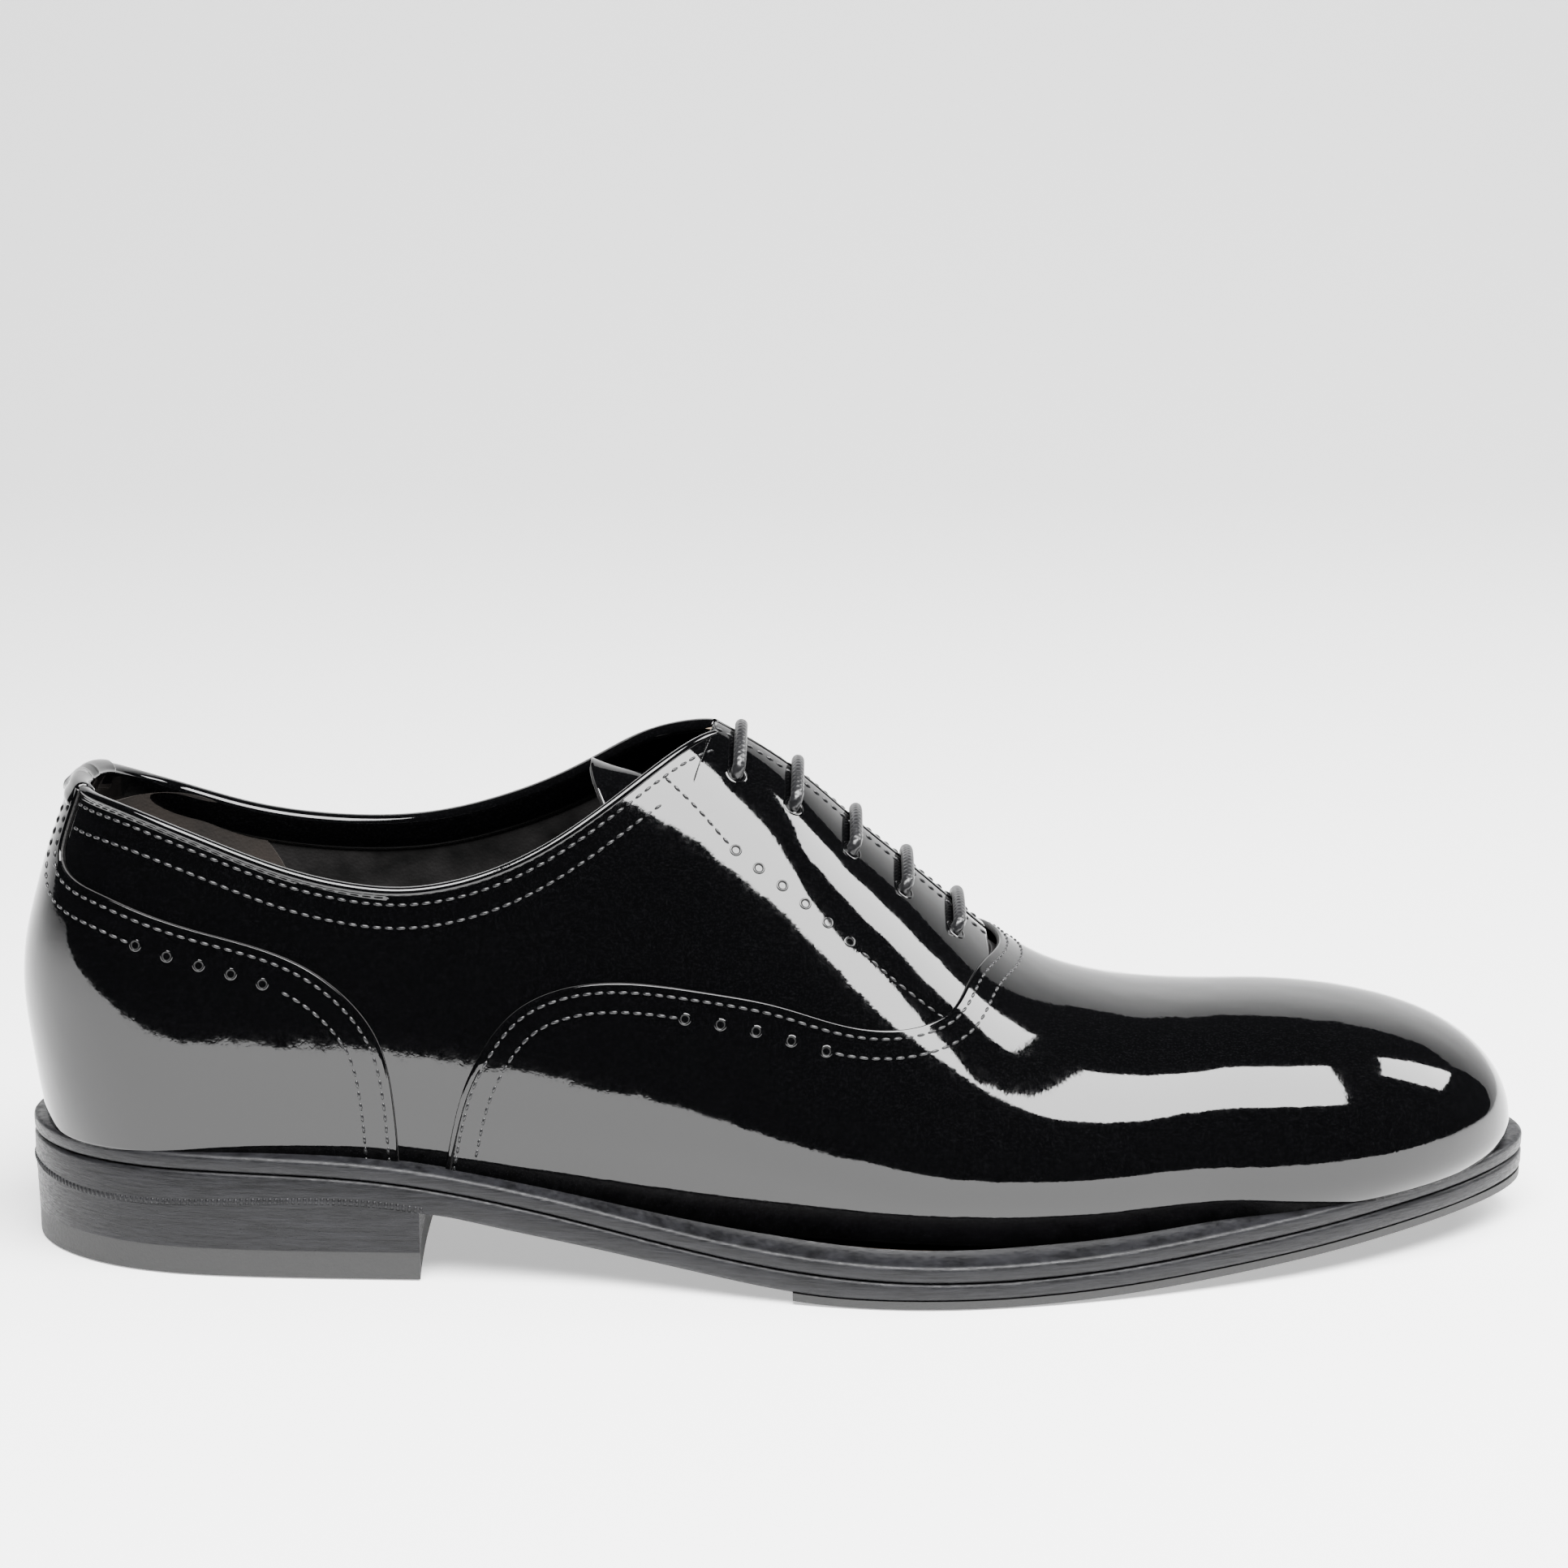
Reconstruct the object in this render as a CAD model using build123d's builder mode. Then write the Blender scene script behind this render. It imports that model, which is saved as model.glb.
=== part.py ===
"""Leather oxford shoe, right foot.

Millimetres, +X to the toe, -Y to the outer side, +Z up, Z = 0 on the floor.
"""

import os
from math import cos, pi, radians, sin, tan

from build123d import *

os.makedirs("parts", exist_ok=True)

# Layers of the upper, as depths in from its outer face.
LEATHER = 1.4
PUFF = 2.0
LINING = 2.7
GRIP = 3.4
TONGUE_TOP = 7.0
TONGUE_MIDDLE = 8.2
TONGUE_UNDER = 9.1

# The last: where its two round ends start, and how far the toe reaches.
HEEL_CENTRE_X = -115
TOE_CENTRE_X = 92
TOE_REACH = 57
HEEL_BACK_END_X = -152.2
HEEL_POWER = 2.3
HEEL_CENTRE_RISE = 7
BOTTOM_FULLNESS = 2.3
BOTTOM_SLACK = 4
SECTION_POINTS = 12
SEAM_ANGLE = -2 * pi / 3
HEEL_STATIONS = [0.35, 2, 6, 13, 24]
MIDDLE_STATIONS = [-112, -94, -76, -58, -40, -22, -6, 9, 22, 34, 44, 54, 66, 80, 96]
TOE_STATIONS = [36, 24, 15, 8, 3.5, 0.6]

# Each curve is a list of (x, value); the back of the heel is (z, x).
RIDGE_Z = [
    (-115, 120), (-90, 120), (-60, 117.5), (-35, 112.5), (-20, 107.5), (-8, 101), (3, 93.5), (15, 83),
    (26, 73.8), (36, 65.2), (45, 57.8), (53, 53), (62, 49.8), (75, 47.5), (92, 47),
]
RIDGE_Y = [(-75, 0), (-20, 2), (20, 4), (60, 6), (92, 7.5), (120, 9.5), (149, 12)]
WIDEST_Z = [(-115, 48), (-75, 43), (-45, 37), (-15, 31), (10, 26), (40, 22), (70, 20.5), (92, 20)]
LATERAL_WIDTH = [
    (-115, 31.5), (-75, 31.5), (-45, 34), (-15, 40.5), (10, 46.5), (30, 49), (50, 47.5), (70, 43.5), (92, 39),
]
MEDIAL_WIDTH = [
    (-115, 31), (-75, 30), (-45, 29), (-15, 30), (15, 34.5), (40, 38.5), (60, 40), (78, 39), (92, 36.5),
]
ROUNDNESS = [(-115, 2.4), (-75, 2.3), (-45, 2), (-15, 1.75), (20, 1.7), (45, 1.8), (70, 2.05), (92, 2.2)]
HEEL_BACK_X = [
    (-20, -128), (0, -140), (15, -146), (25, -148.6), (40, -151), (55, -152.2), (63, -151.3),
    (72, -149), (81, -146.2), (93, -141.6), (105, -136), (123, -126),
]

# Heights of the sole's layers along the shoe.
WELT_TOP_Z = [
    (-156, 25), (-125, 25), (-100, 24.6), (-78, 23.2), (-54, 19.2), (-42, 16.8), (-13, 11.6), (6, 9.6),
    (26, 8.7), (54, 9), (71, 10), (89, 11.6), (106, 13.2), (125, 14.8), (140, 16), (158, 17.4),
]
SOLE_BOTTOM_Z = [
    (-156, 15.8), (-100, 15.2), (-78, 14.7), (-70, 13.6), (-54, 10.4), (-42, 8.3), (-13, 3.9), (4, 2),
    (14, 1.6), (27, 1.6), (40, 1.6), (54, 1.9), (71, 2.8), (89, 4.2), (106, 5.7), (125, 7.3), (140, 8.5),
    (158, 9.9),
]
RUBBER = 1.6
RUBBER_INSET = 0.3
RUBBER_START_X = 2
WELT = 3.5
WELT_WIDTH = 11
INSOLE = 2.2
SOCK = 1.0
SHANK_PLAN = [(-98, -7), (-98, 7), (6, 9), (6, -5)]
SHANK_BOTTOM = -2.2
SHANK_THICKNESS = 1.2

# The heel: a rubber top piece, three level lifts, and a last one cut to the outsole.
TOP_PIECE = 5.6
LIFT = 2.5
LIFTS = 4
LAST_LIFT_TOP = 18
HEEL_INSET = 0.3
NAIL_PLACES = [(-138, 0), (-122, 17), (-122, -17), (-94, 18), (-94, -18)]
NAIL_RADIUS = 0.8
NAIL_LOW_Z = 8.6
NAIL_HIGH_Z = 20.5

# Half outlines of the outsole, from the back to the tip, as (x, y).
LATERAL_SIDE = [
    (-146.5, -16.5), (-130, -28.5), (-105, -33.5), (-72, -35), (-45, -37), (-15, -43.5), (8, -49),
    (28, -51), (50, -48.5), (71, -43.5), (88, -38), (106, -31), (125, -20.5), (140, -9.5),
]
MEDIAL_SIDE = [
    (149, 24), (139, 34), (124, 41.5), (105, 47), (85, 50.3), (62, 51), (40, 48), (15, 40.5),
    (-15, 32.5), (-45, 29), (-75, 30), (-105, 32.5), (-130, 28.5), (-146.5, 16.5),
]
HEEL_TIP = (-153, 0)
TOE_TIP = (153, 10)
BREAST_X = -67.5
BREAST_HOLLOW = 5

# Edges of the upper's pieces, seen from the side, as (x, z).
TOPLINE = [
    (-140, 94.6), (-131, 93.4), (-120, 90.2), (-109.5, 86.1), (-95.5, 81), (-85, 78.5), (-74.5, 77.5),
    (-64, 78.7), (-53.4, 82), (-43.4, 87), (-29.4, 96.2), (-18.4, 102.6), (-11, 105.5),
]
VAMP_EDGE = [
    (-68, 16), (-63.6, 34.3), (-59.5, 44.5), (-52.2, 54), (-38.1, 59.9), (-15, 59), (-1, 56.4), (13, 52),
    (24, 51), (33, 53.5), (39, 60), (42, 68),
]
FOXING_EDGE = [
    (-75.5, 20), (-76.8, 40), (-81.3, 52.2), (-92.2, 62.3), (-111.5, 69.3), (-131.3, 76.6), (-137.7, 80.5),
    (-137, 90), (-134.5, 97),
]
STIFFENER_EDGE = [(-86, 10), (-90, 45), (-112, 66), (-138, 76)]
GRIP_EDGE = [(-98, 10), (-99, 50), (-108, 74), (-142, 84)]
PUFF_START_X = 104
THROAT_END_X = 50
SLIT = 1.2
SLIT_START_X = -45
SLIT_END_X = 42
BINDING = 1.6
BINDING_END_X = -13

# Lacing.
EYELET_X = [-9.2, 2, 13.6, 24, 34.4]
EYELET_OUT = 13.5
HOLE_RADIUS = 1.8
HOLE_REACH = (-6, 3)
EYELET_RADIUS = 2.7
EYELET_REACH = (-2.6, -1.35)
LACE_RADIUS = 1.3
LACE_OVER = 1.55
LACE_UNDER = 3.95
BAR_BENDS = (8.5, 3, -3, -8.5)
FIRST_TAIL = [(34, -21.5), (-2, -20)]
LAST_TAIL = [(26, 20), (-10, 21)]
BEND_SHARE = 0.45
WIDEST_BEND = 40
AGLET_WALL = 0.25
AGLET_LENGTH = 16

# Strips that follow the ridge, as (start x, end x, start half width, end half width).
STAY_STRIP = (-40, 41, 21, 18)
TONGUE_STRIP = (-31, 44, 21, 11)
UPPER_HALF_Z = 45

# Tongue.
HINGE_X = 45
TONGUE_DROP = 7

# How far the cutting solids reach, and how finely places on the last are found.
FAR_SIDE = 70
FAR_FRONT = 170
FAR_ABOVE = 140
FAR_BELOW = -20
FLOOR_Z = -1.0
ABOVE_WELT_Z = 60.0
LARGEST_REACH = 140.0
RIDGE_STEPS = 10
HALVINGS = 40
SLOPE_STEP = 0.05


def smooth(knots, at):
    """Value at one place on the smooth curve through the knots."""
    if at <= knots[0][0]:
        return knots[0][1]
    if at >= knots[-1][0]:
        return knots[-1][1]
    slopes = [0.0]
    for before, after in zip(knots, knots[2:]):
        slopes.append((after[1] - before[1]) / (after[0] - before[0]))
    slopes.append(0.0)
    i = max(k for k in range(len(knots) - 1) if knots[k][0] <= at)
    (x0, v0), (x1, v1) = knots[i], knots[i + 1]
    step = x1 - x0
    t = (at - x0) / step
    rise = (2 * t - 3) * t * t
    return v0 * (1 + rise) - v1 * rise + step * t * (1 - t) * (slopes[i] * (1 - t) - slopes[i + 1] * t)


def raised(knots, rise):
    """The knots of a height curve, all moved up by the rise."""
    return [(x, z + rise) for x, z in knots]


def inside_last(x, y, z, depth=0.0):
    """How full the last's space is at a point: below 1 is inside."""
    ridge_y = smooth(RIDGE_Y, x)
    width = smooth(LATERAL_WIDTH if y < ridge_y else MEDIAL_WIDTH, x) - depth
    power = smooth(ROUNDNESS, x)
    widest_z = smooth(WIDEST_Z, x)
    above = smooth(RIDGE_Z, x) - depth - widest_z
    below = BOTTOM_FULLNESS * (widest_z - smooth(WELT_TOP_Z, x)) + BOTTOM_SLACK - depth
    height = (z - widest_z) / above if z > widest_z else (widest_z - z) / below
    toe = max(0.0, (x - TOE_CENTRE_X) / (TOE_REACH - depth))
    back = smooth(HEEL_BACK_X, z) + depth
    heel = max(0.0, (HEEL_CENTRE_X - x) / (HEEL_CENTRE_X - back))
    if heel >= 1:
        return 2.0
    width *= (1 - heel**HEEL_POWER) ** (1 / HEEL_POWER)
    return (abs(y - ridge_y) / width) ** power + height**power + toe**power


def farthest_inside(point_at, low, high, depth=0.0):
    """The largest distance at which a moving point is still inside the last."""
    for _ in range(HALVINGS):
        middle = (low + high) / 2
        if inside_last(*point_at(middle), depth) < 1:
            low = middle
        else:
            high = middle
    return low


def section(x, depth):
    """Closed outline of the last across the shoe at x."""
    centre_y = smooth(RIDGE_Y, x)
    past_heel_centre = max(0.0, (HEEL_CENTRE_X - x) / (HEEL_CENTRE_X - HEEL_BACK_END_X))
    centre_z = smooth(WIDEST_Z, x) + HEEL_CENTRE_RISE * past_heel_centre
    points = []
    for k in range(SECTION_POINTS):
        angle = SEAM_ANGLE + 2 * pi * k / SECTION_POINTS
        across, up = cos(angle), sin(angle)

        def point_at(reach):
            return (x, centre_y + reach * across, centre_z + reach * up)

        points.append(point_at(farthest_inside(point_at, 0, LARGEST_REACH, depth))[1:])
    return points


def last_body(depth):
    """Solid inside the upper's outer face, moved in by the depth."""
    back = HEEL_BACK_END_X + depth
    tip = TOE_CENTRE_X + TOE_REACH - depth
    heel_stations = [back + step for step in HEEL_STATIONS]
    toe_stations = [tip - step for step in TOE_STATIONS]
    with BuildPart() as body:
        for x in heel_stations + MIDDLE_STATIONS + toe_stations:
            with BuildSketch(Plane.YZ.offset(x)):
                with BuildLine():
                    Spline(*section(x, depth), periodic=True)
                make_face()
        loft()
    return body.part


def layer(low, high):
    """Solid between two height curves, right across the shoe."""
    with BuildPart() as slab:
        with BuildSketch(Plane.XZ.offset(-FAR_SIDE)):
            with BuildLine():
                Spline(*low)
                Line(low[-1], high[-1])
                Spline(*high)
                Line(high[0], low[0])
            make_face()
        extrude(amount=2 * FAR_SIDE)
    return slab.part


def side_region(edge, closing):
    """Solid seen from the side, bounded by a smooth edge and straight closing lines."""
    with BuildPart() as region:
        with BuildSketch(Plane.XZ.offset(-FAR_SIDE)):
            with BuildLine():
                Spline(*edge)
                Polyline(edge[-1], *closing, edge[0])
            make_face()
        extrude(amount=2 * FAR_SIDE)
    return region.part


def plan_region(corners, low=FAR_BELOW):
    """Upright solid over a closed outline seen from above."""
    with BuildPart() as region:
        with BuildSketch(Plane.XY.offset(low)):
            with BuildLine():
                Polyline(*corners, close=True)
            make_face()
        extrude(amount=FAR_ABOVE - low)
    return region.part


def plan_box(start_x, end_x):
    """Upright solid right across the shoe between two places along it."""
    return plan_region([(start_x, -FAR_SIDE), (start_x, FAR_SIDE), (end_x, FAR_SIDE), (end_x, -FAR_SIDE)])


def ridge_strip(start_x, end_x, start_half, end_half, low=FAR_BELOW):
    """Upright solid that follows the ridge line, seen from above."""
    left = []
    right = []
    for k in range(RIDGE_STEPS + 1):
        share = k / RIDGE_STEPS
        x = start_x + (end_x - start_x) * share
        half = start_half + (end_half - start_half) * share
        left.append((x, smooth(RIDGE_Y, x) - half))
        right.append((x, smooth(RIDGE_Y, x) + half))
    return plan_region(left + right[::-1], low)


def outline_points(inset):
    """The outsole's outline seen from above, with every point moved in by the inset."""
    points = [HEEL_TIP, *LATERAL_SIDE, TOE_TIP, *MEDIAL_SIDE]
    moved = []
    for before, (x, y), after in zip(points[-1:] + points[:-1], points, points[1:] + points[:1]):
        along = Vector(after[0] - before[0], after[1] - before[1]).normalized()
        moved.append((x - along.Y * inset, y + along.X * inset))
    return moved


def outline_prism(inset, low=FLOOR_Z, high=ABOVE_WELT_Z):
    """Upright solid with the outsole's outline, moved in by the inset."""
    with BuildPart() as prism:
        with BuildSketch(Plane.XY.offset(low)):
            with BuildLine():
                Spline(*outline_points(inset), periodic=True)
            make_face()
        extrude(amount=high - low)
    return prism.part


def heel_slice(low, high, inset):
    """Level slice of the heel with its hollow front."""
    with BuildPart() as slab:
        add(outline_prism(inset, low, high))
        with BuildSketch(Plane.XY.offset(low)):
            with BuildLine():
                middle = (BREAST_X - BREAST_HOLLOW, 0)
                breast = ThreePointArc((BREAST_X, -FAR_SIDE), middle, (BREAST_X, FAR_SIDE))
                Polyline(breast @ 1, (FAR_FRONT, FAR_SIDE), (FAR_FRONT, -FAR_SIDE), breast @ 0)
            make_face()
        extrude(amount=high - low, mode=Mode.SUBTRACT)
    return slab.part


def nail_pins():
    """The five pins that hold the heel on."""
    with BuildPart() as pins:
        with Locations(*[(x, y, (NAIL_LOW_Z + NAIL_HIGH_Z) / 2) for x, y in NAIL_PLACES]):
            Cylinder(NAIL_RADIUS, NAIL_HIGH_Z - NAIL_LOW_Z)
    return pins.part


def surface_point(x, off_ridge):
    """Point on the upper at x, a distance to the side of the ridge."""
    y = smooth(RIDGE_Y, x) + off_ridge
    return Vector(x, y, farthest_inside(lambda z: (x, y, z), smooth(WIDEST_Z, x), LARGEST_REACH))


def outward(point):
    """Direction straight out of the upper at a point on it."""
    x, y, z = point.X, point.Y, point.Z
    slope = Vector(
        inside_last(x + SLOPE_STEP, y, z) - inside_last(x - SLOPE_STEP, y, z),
        inside_last(x, y + SLOPE_STEP, z) - inside_last(x, y - SLOPE_STEP, z),
        inside_last(x, y, z + SLOPE_STEP) - inside_last(x, y, z - SLOPE_STEP),
    )
    return slope.normalized()


def pin_along(point, direction, start, end, radius):
    """Round pin along a direction, between two distances from a point."""
    with BuildPart() as pin:
        with BuildSketch(Plane(origin=point + direction * start, z_dir=direction)):
            Circle(radius)
        extrude(amount=end - start)
    return pin.part


def eyelet_pins(side, start, end, radius):
    """One pin for each eyelet of one facing, straight through the upper."""
    pins = []
    for x in EYELET_X:
        centre = surface_point(x, side * EYELET_OUT)
        pins.append(pin_along(centre, outward(centre), start, end, radius))
    return pins


def trimmed(base, inside=(), without=()):
    """Part of a solid that lies inside some solids and outside others."""
    with BuildPart() as piece:
        add(base)
        for solid in inside:
            add(solid, mode=Mode.INTERSECT)
        for solid in without:
            add(solid, mode=Mode.SUBTRACT)
    return piece.part


def write(piece, name):
    """Labels one finished sub-part and writes its file."""
    piece.part.label = name
    export_step(piece.part, f"parts/{name}.step")
    print(name, len(piece.part.solids()), "solids", round(piece.part.volume), "mm3")


# ---- Sole and heel
nails = nail_pins()
shank_layer = layer(raised(WELT_TOP_Z, SHANK_BOTTOM), raised(WELT_TOP_Z, SHANK_BOTTOM + SHANK_THICKNESS))
shank_body = trimmed(plan_region(SHANK_PLAN), [shank_layer])
sole_layer = layer(SOLE_BOTTOM_Z, raised(WELT_TOP_Z, -WELT))
welt_layer = layer(raised(WELT_TOP_Z, -WELT), WELT_TOP_Z)
sole_core = outline_prism(WELT_WIDTH)

with BuildPart() as heel_top_piece:
    add(heel_slice(0, TOP_PIECE, HEEL_INSET))
write(heel_top_piece, "heel_top_piece")

for number in range(1, LIFTS + 1):
    low = TOP_PIECE + LIFT * (number - 1)
    high = low + LIFT if number < LIFTS else LAST_LIFT_TOP
    with BuildPart() as heel_lift:
        add(heel_slice(low, high, HEEL_INSET * (1 - number / LIFTS)))
        add(sole_layer, mode=Mode.SUBTRACT)
        add(nails, mode=Mode.SUBTRACT)
    write(heel_lift, f"heel_lift_{number}")

with BuildPart() as heel_nails:
    add(nails)
write(heel_nails, "heel_nails")

with BuildPart() as outsole:
    add(outline_prism(0))
    add(sole_layer, mode=Mode.INTERSECT)
    add(nails, mode=Mode.SUBTRACT)
write(outsole, "outsole")

with BuildPart() as shank:
    add(shank_body)
write(shank, "shank")

with BuildPart() as welt:
    add(outline_prism(0))
    add(welt_layer, mode=Mode.INTERSECT)
    add(sole_core, mode=Mode.SUBTRACT)
write(welt, "welt")

with BuildPart() as cork_filler:
    add(sole_core)
    add(welt_layer, mode=Mode.INTERSECT)
    add(shank_body, mode=Mode.SUBTRACT)
    add(nails, mode=Mode.SUBTRACT)
write(cork_filler, "cork_filler")

with BuildPart() as forepart_rubber_sole:
    add(outline_prism(RUBBER_INSET))
    add(plan_box(RUBBER_START_X, FAR_FRONT), mode=Mode.INTERSECT)
    add(layer(raised(SOLE_BOTTOM_Z, -RUBBER), SOLE_BOTTOM_Z), mode=Mode.INTERSECT)
write(forepart_rubber_sole, "forepart_rubber_sole")

# ---- Nested bodies of the last, one for each face of the upper's layers
outer = last_body(0)
under_leather = last_body(LEATHER)
under_puff = last_body(PUFF)
under_lining = last_body(LINING)
under_grip = last_body(GRIP)

with BuildPart() as insole:
    add(under_lining)
    add(layer(WELT_TOP_Z, raised(WELT_TOP_Z, INSOLE)), mode=Mode.INTERSECT)
write(insole, "insole")

with BuildPart() as sock_liner:
    add(under_lining)
    add(layer(raised(WELT_TOP_Z, INSOLE), raised(WELT_TOP_Z, INSOLE + SOCK)), mode=Mode.INTERSECT)
write(sock_liner, "sock_liner")

# ---- Regions of the upper
def below_edge(edge):
    """Everything under a collar edge, seen from the side."""
    front = [(edge[-1][0], FAR_ABOVE), (FAR_FRONT, FAR_ABOVE), (FAR_FRONT, FAR_BELOW)]
    return side_region(edge, front + [(-FAR_FRONT, FAR_BELOW), (-FAR_FRONT, edge[0][1])])


def above_curve(curve):
    """Everything over a height curve."""
    return side_region(curve, [(curve[-1][0], FAR_ABOVE), (curve[0][0], FAR_ABOVE)])


def behind_edge(edge):
    """Everything to the heel's side of an edge that runs from low to high."""
    return side_region(edge, [(-FAR_FRONT, edge[-1][1]), (-FAR_FRONT, FAR_BELOW), (edge[0][0], FAR_BELOW)])


def ahead_of_edge(edge):
    """Everything to the toe's side of an edge that runs from low to high."""
    front = [(THROAT_END_X, FAR_ABOVE), (FAR_FRONT, FAR_ABOVE), (FAR_FRONT, FAR_BELOW)]
    return side_region(edge, front + [(edge[0][0], FAR_BELOW)])


collar = below_edge(TOPLINE)
below_binding = below_edge(raised(TOPLINE, -BINDING))
above_welt = above_curve(WELT_TOP_Z)
above_sock = above_curve(raised(WELT_TOP_Z, INSOLE + SOCK))
vamp_region = ahead_of_edge(VAMP_EDGE)
foxing_region = behind_edge(FOXING_EDGE)
stiffener_region = behind_edge(STIFFENER_EDGE)
grip_region = behind_edge(GRIP_EDGE)
toe_region = plan_box(PUFF_START_X, FAR_FRONT)
past_binding = plan_box(BINDING_END_X, FAR_FRONT)
slit = ridge_strip(SLIT_START_X, SLIT_END_X, SLIT, SLIT)
stay_region = ridge_strip(*STAY_STRIP, UPPER_HALF_Z)
medial_half = plan_region([
    (-FAR_FRONT, 0), *RIDGE_Y, (FAR_FRONT, RIDGE_Y[-1][1]), (FAR_FRONT, FAR_SIDE), (-FAR_FRONT, FAR_SIDE),
])

holes = eyelet_pins(-1, *HOLE_REACH, HOLE_RADIUS) + eyelet_pins(1, *HOLE_REACH, HOLE_RADIUS)
seats = eyelet_pins(-1, *EYELET_REACH, EYELET_RADIUS) + eyelet_pins(1, *EYELET_REACH, EYELET_RADIUS)

binding_body = trimmed(outer, [collar, above_welt], [under_lining, below_binding, slit, past_binding])
leather_shell = trimmed(outer, [collar, above_welt], [under_leather, binding_body])
quarter_leather = trimmed(leather_shell, [], [vamp_region, foxing_region, slit, *holes, *seats])
lining_shell = trimmed(under_leather, [collar, above_welt], [under_lining, binding_body])
stiffening_shell = trimmed(lining_shell, [], [under_puff])
puff_body = trimmed(stiffening_shell, [toe_region])
stiffener_body = trimmed(stiffening_shell, [stiffener_region])
stay_bodies = trimmed(stiffening_shell, [stay_region], [vamp_region])
lining_leather = trimmed(lining_shell, [], [puff_body, stiffener_body, stay_bodies, slit, *holes, *seats])

# ---- Outer leather
with BuildPart() as topline_binding:
    add(binding_body)
write(topline_binding, "topline_binding")

with BuildPart() as vamp:
    add(leather_shell)
    add(vamp_region, mode=Mode.INTERSECT)
write(vamp, "vamp")

with BuildPart() as heel_foxing:
    add(leather_shell)
    add(foxing_region, mode=Mode.INTERSECT)
write(heel_foxing, "heel_foxing")

with BuildPart() as quarter_lateral:
    add(quarter_leather)
    add(medial_half, mode=Mode.SUBTRACT)
write(quarter_lateral, "quarter_lateral")

with BuildPart() as quarter_medial:
    add(quarter_leather)
    add(medial_half, mode=Mode.INTERSECT)
write(quarter_medial, "quarter_medial")

for side, side_name in ((-1, "lateral"), (1, "medial")):
    with BuildPart() as blind_eyelets:
        for ring in eyelet_pins(side, *EYELET_REACH, EYELET_RADIUS):
            add(ring)
        for hole in eyelet_pins(side, *HOLE_REACH, HOLE_RADIUS):
            add(hole, mode=Mode.SUBTRACT)
    write(blind_eyelets, f"blind_eyelets_{side_name}")

# ---- Stiffening pieces, linings and the heel grip
with BuildPart() as toe_puff:
    add(puff_body)
write(toe_puff, "toe_puff")

with BuildPart() as heel_stiffener:
    add(stiffener_body)
write(heel_stiffener, "heel_stiffener")

facing_stays = trimmed(stay_bodies, [], [slit, *holes, *seats])

with BuildPart() as facing_stay_lateral:
    add(facing_stays)
    add(medial_half, mode=Mode.SUBTRACT)
write(facing_stay_lateral, "facing_stay_lateral")

with BuildPart() as facing_stay_medial:
    add(facing_stays)
    add(medial_half, mode=Mode.INTERSECT)
write(facing_stay_medial, "facing_stay_medial")

with BuildPart() as vamp_lining:
    add(lining_leather)
    add(vamp_region, mode=Mode.INTERSECT)
write(vamp_lining, "vamp_lining")

quarter_linings = trimmed(lining_leather, [], [vamp_region])

with BuildPart() as quarter_lining_lateral:
    add(quarter_linings)
    add(medial_half, mode=Mode.SUBTRACT)
write(quarter_lining_lateral, "quarter_lining_lateral")

with BuildPart() as quarter_lining_medial:
    add(quarter_linings)
    add(medial_half, mode=Mode.INTERSECT)
write(quarter_lining_medial, "quarter_lining_medial")

with BuildPart() as heel_grip:
    add(under_lining)
    add(grip_region, mode=Mode.INTERSECT)
    add(above_sock, mode=Mode.INTERSECT)
    add(under_grip, mode=Mode.SUBTRACT)
write(heel_grip, "heel_grip")

# ---- Tongue, lowered about the throat seam so that it hangs clear of the facings
hinge = Axis((HINGE_X, 0, smooth(RIDGE_Z, HINGE_X) - TONGUE_TOP), (0, 1, 0))
tongue_region = ridge_strip(*TONGUE_STRIP, UPPER_HALF_Z)
tongue_body = trimmed(last_body(TONGUE_TOP), [tongue_region])
tongue_middle = last_body(TONGUE_MIDDLE)

with BuildPart() as tongue:
    add(trimmed(tongue_body, [], [tongue_middle]).rotate(hinge, -TONGUE_DROP))
write(tongue, "tongue")

with BuildPart() as tongue_lining:
    add(trimmed(tongue_body, [tongue_middle], [last_body(TONGUE_UNDER)]).rotate(hinge, -TONGUE_DROP))
write(tongue_lining, "tongue_lining")


# ---- Lace
def lace_point(x, off_ridge, out):
    """Place on the lace's centre line, a distance out from the upper."""
    point = surface_point(x, off_ridge)
    return point + outward(point) * out


def lace_route():
    """The lace from one tucked end to the other, bar by bar down the facings."""
    route = [lace_point(x, off_ridge, -LACE_UNDER) for x, off_ridge in FIRST_TAIL]
    side = -1
    for x in EYELET_X:
        route.append(lace_point(x, side * EYELET_OUT, -LACE_UNDER))
        for off_ridge in (EYELET_OUT, *BAR_BENDS, -EYELET_OUT):
            route.append(lace_point(x, side * off_ridge, LACE_OVER))
        route.append(lace_point(x, -side * EYELET_OUT, -LACE_UNDER))
        side = -side
    return route + [lace_point(x, off_ridge, -LACE_UNDER) for x, off_ridge in LAST_TAIL]


def bend_radii(route):
    """The largest arc that fits each corner between its two runs."""
    radii = []
    for before, corner, after in zip(route, route[1:], route[2:]):
        first = corner - before
        second = after - corner
        half_turn = radians(first.get_angle(second)) / 2
        radii.append(min(WIDEST_BEND, BEND_SHARE * min(first.length, second.length) / tan(half_turn)))
    return radii


route = lace_route()
radii = bend_radii(route)
with BuildPart() as lace:
    with BuildLine() as lace_line:
        FilletPolyline(*route, radius=radii)
    with BuildSketch(Plane(origin=lace_line.line @ 0, z_dir=lace_line.line % 0)):
        Circle(LACE_RADIUS)
    sweep(transition=Transition.RIGHT)
write(lace, "lace")
lace_length = lace_line.wires()[0].length
print("lace length", round(lace_length, 1), "mm")
print("section times length", round(lace_length * pi * LACE_RADIUS**2), "mm3")
print("lace radii", [round(radius, 1) for radius in radii])

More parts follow.
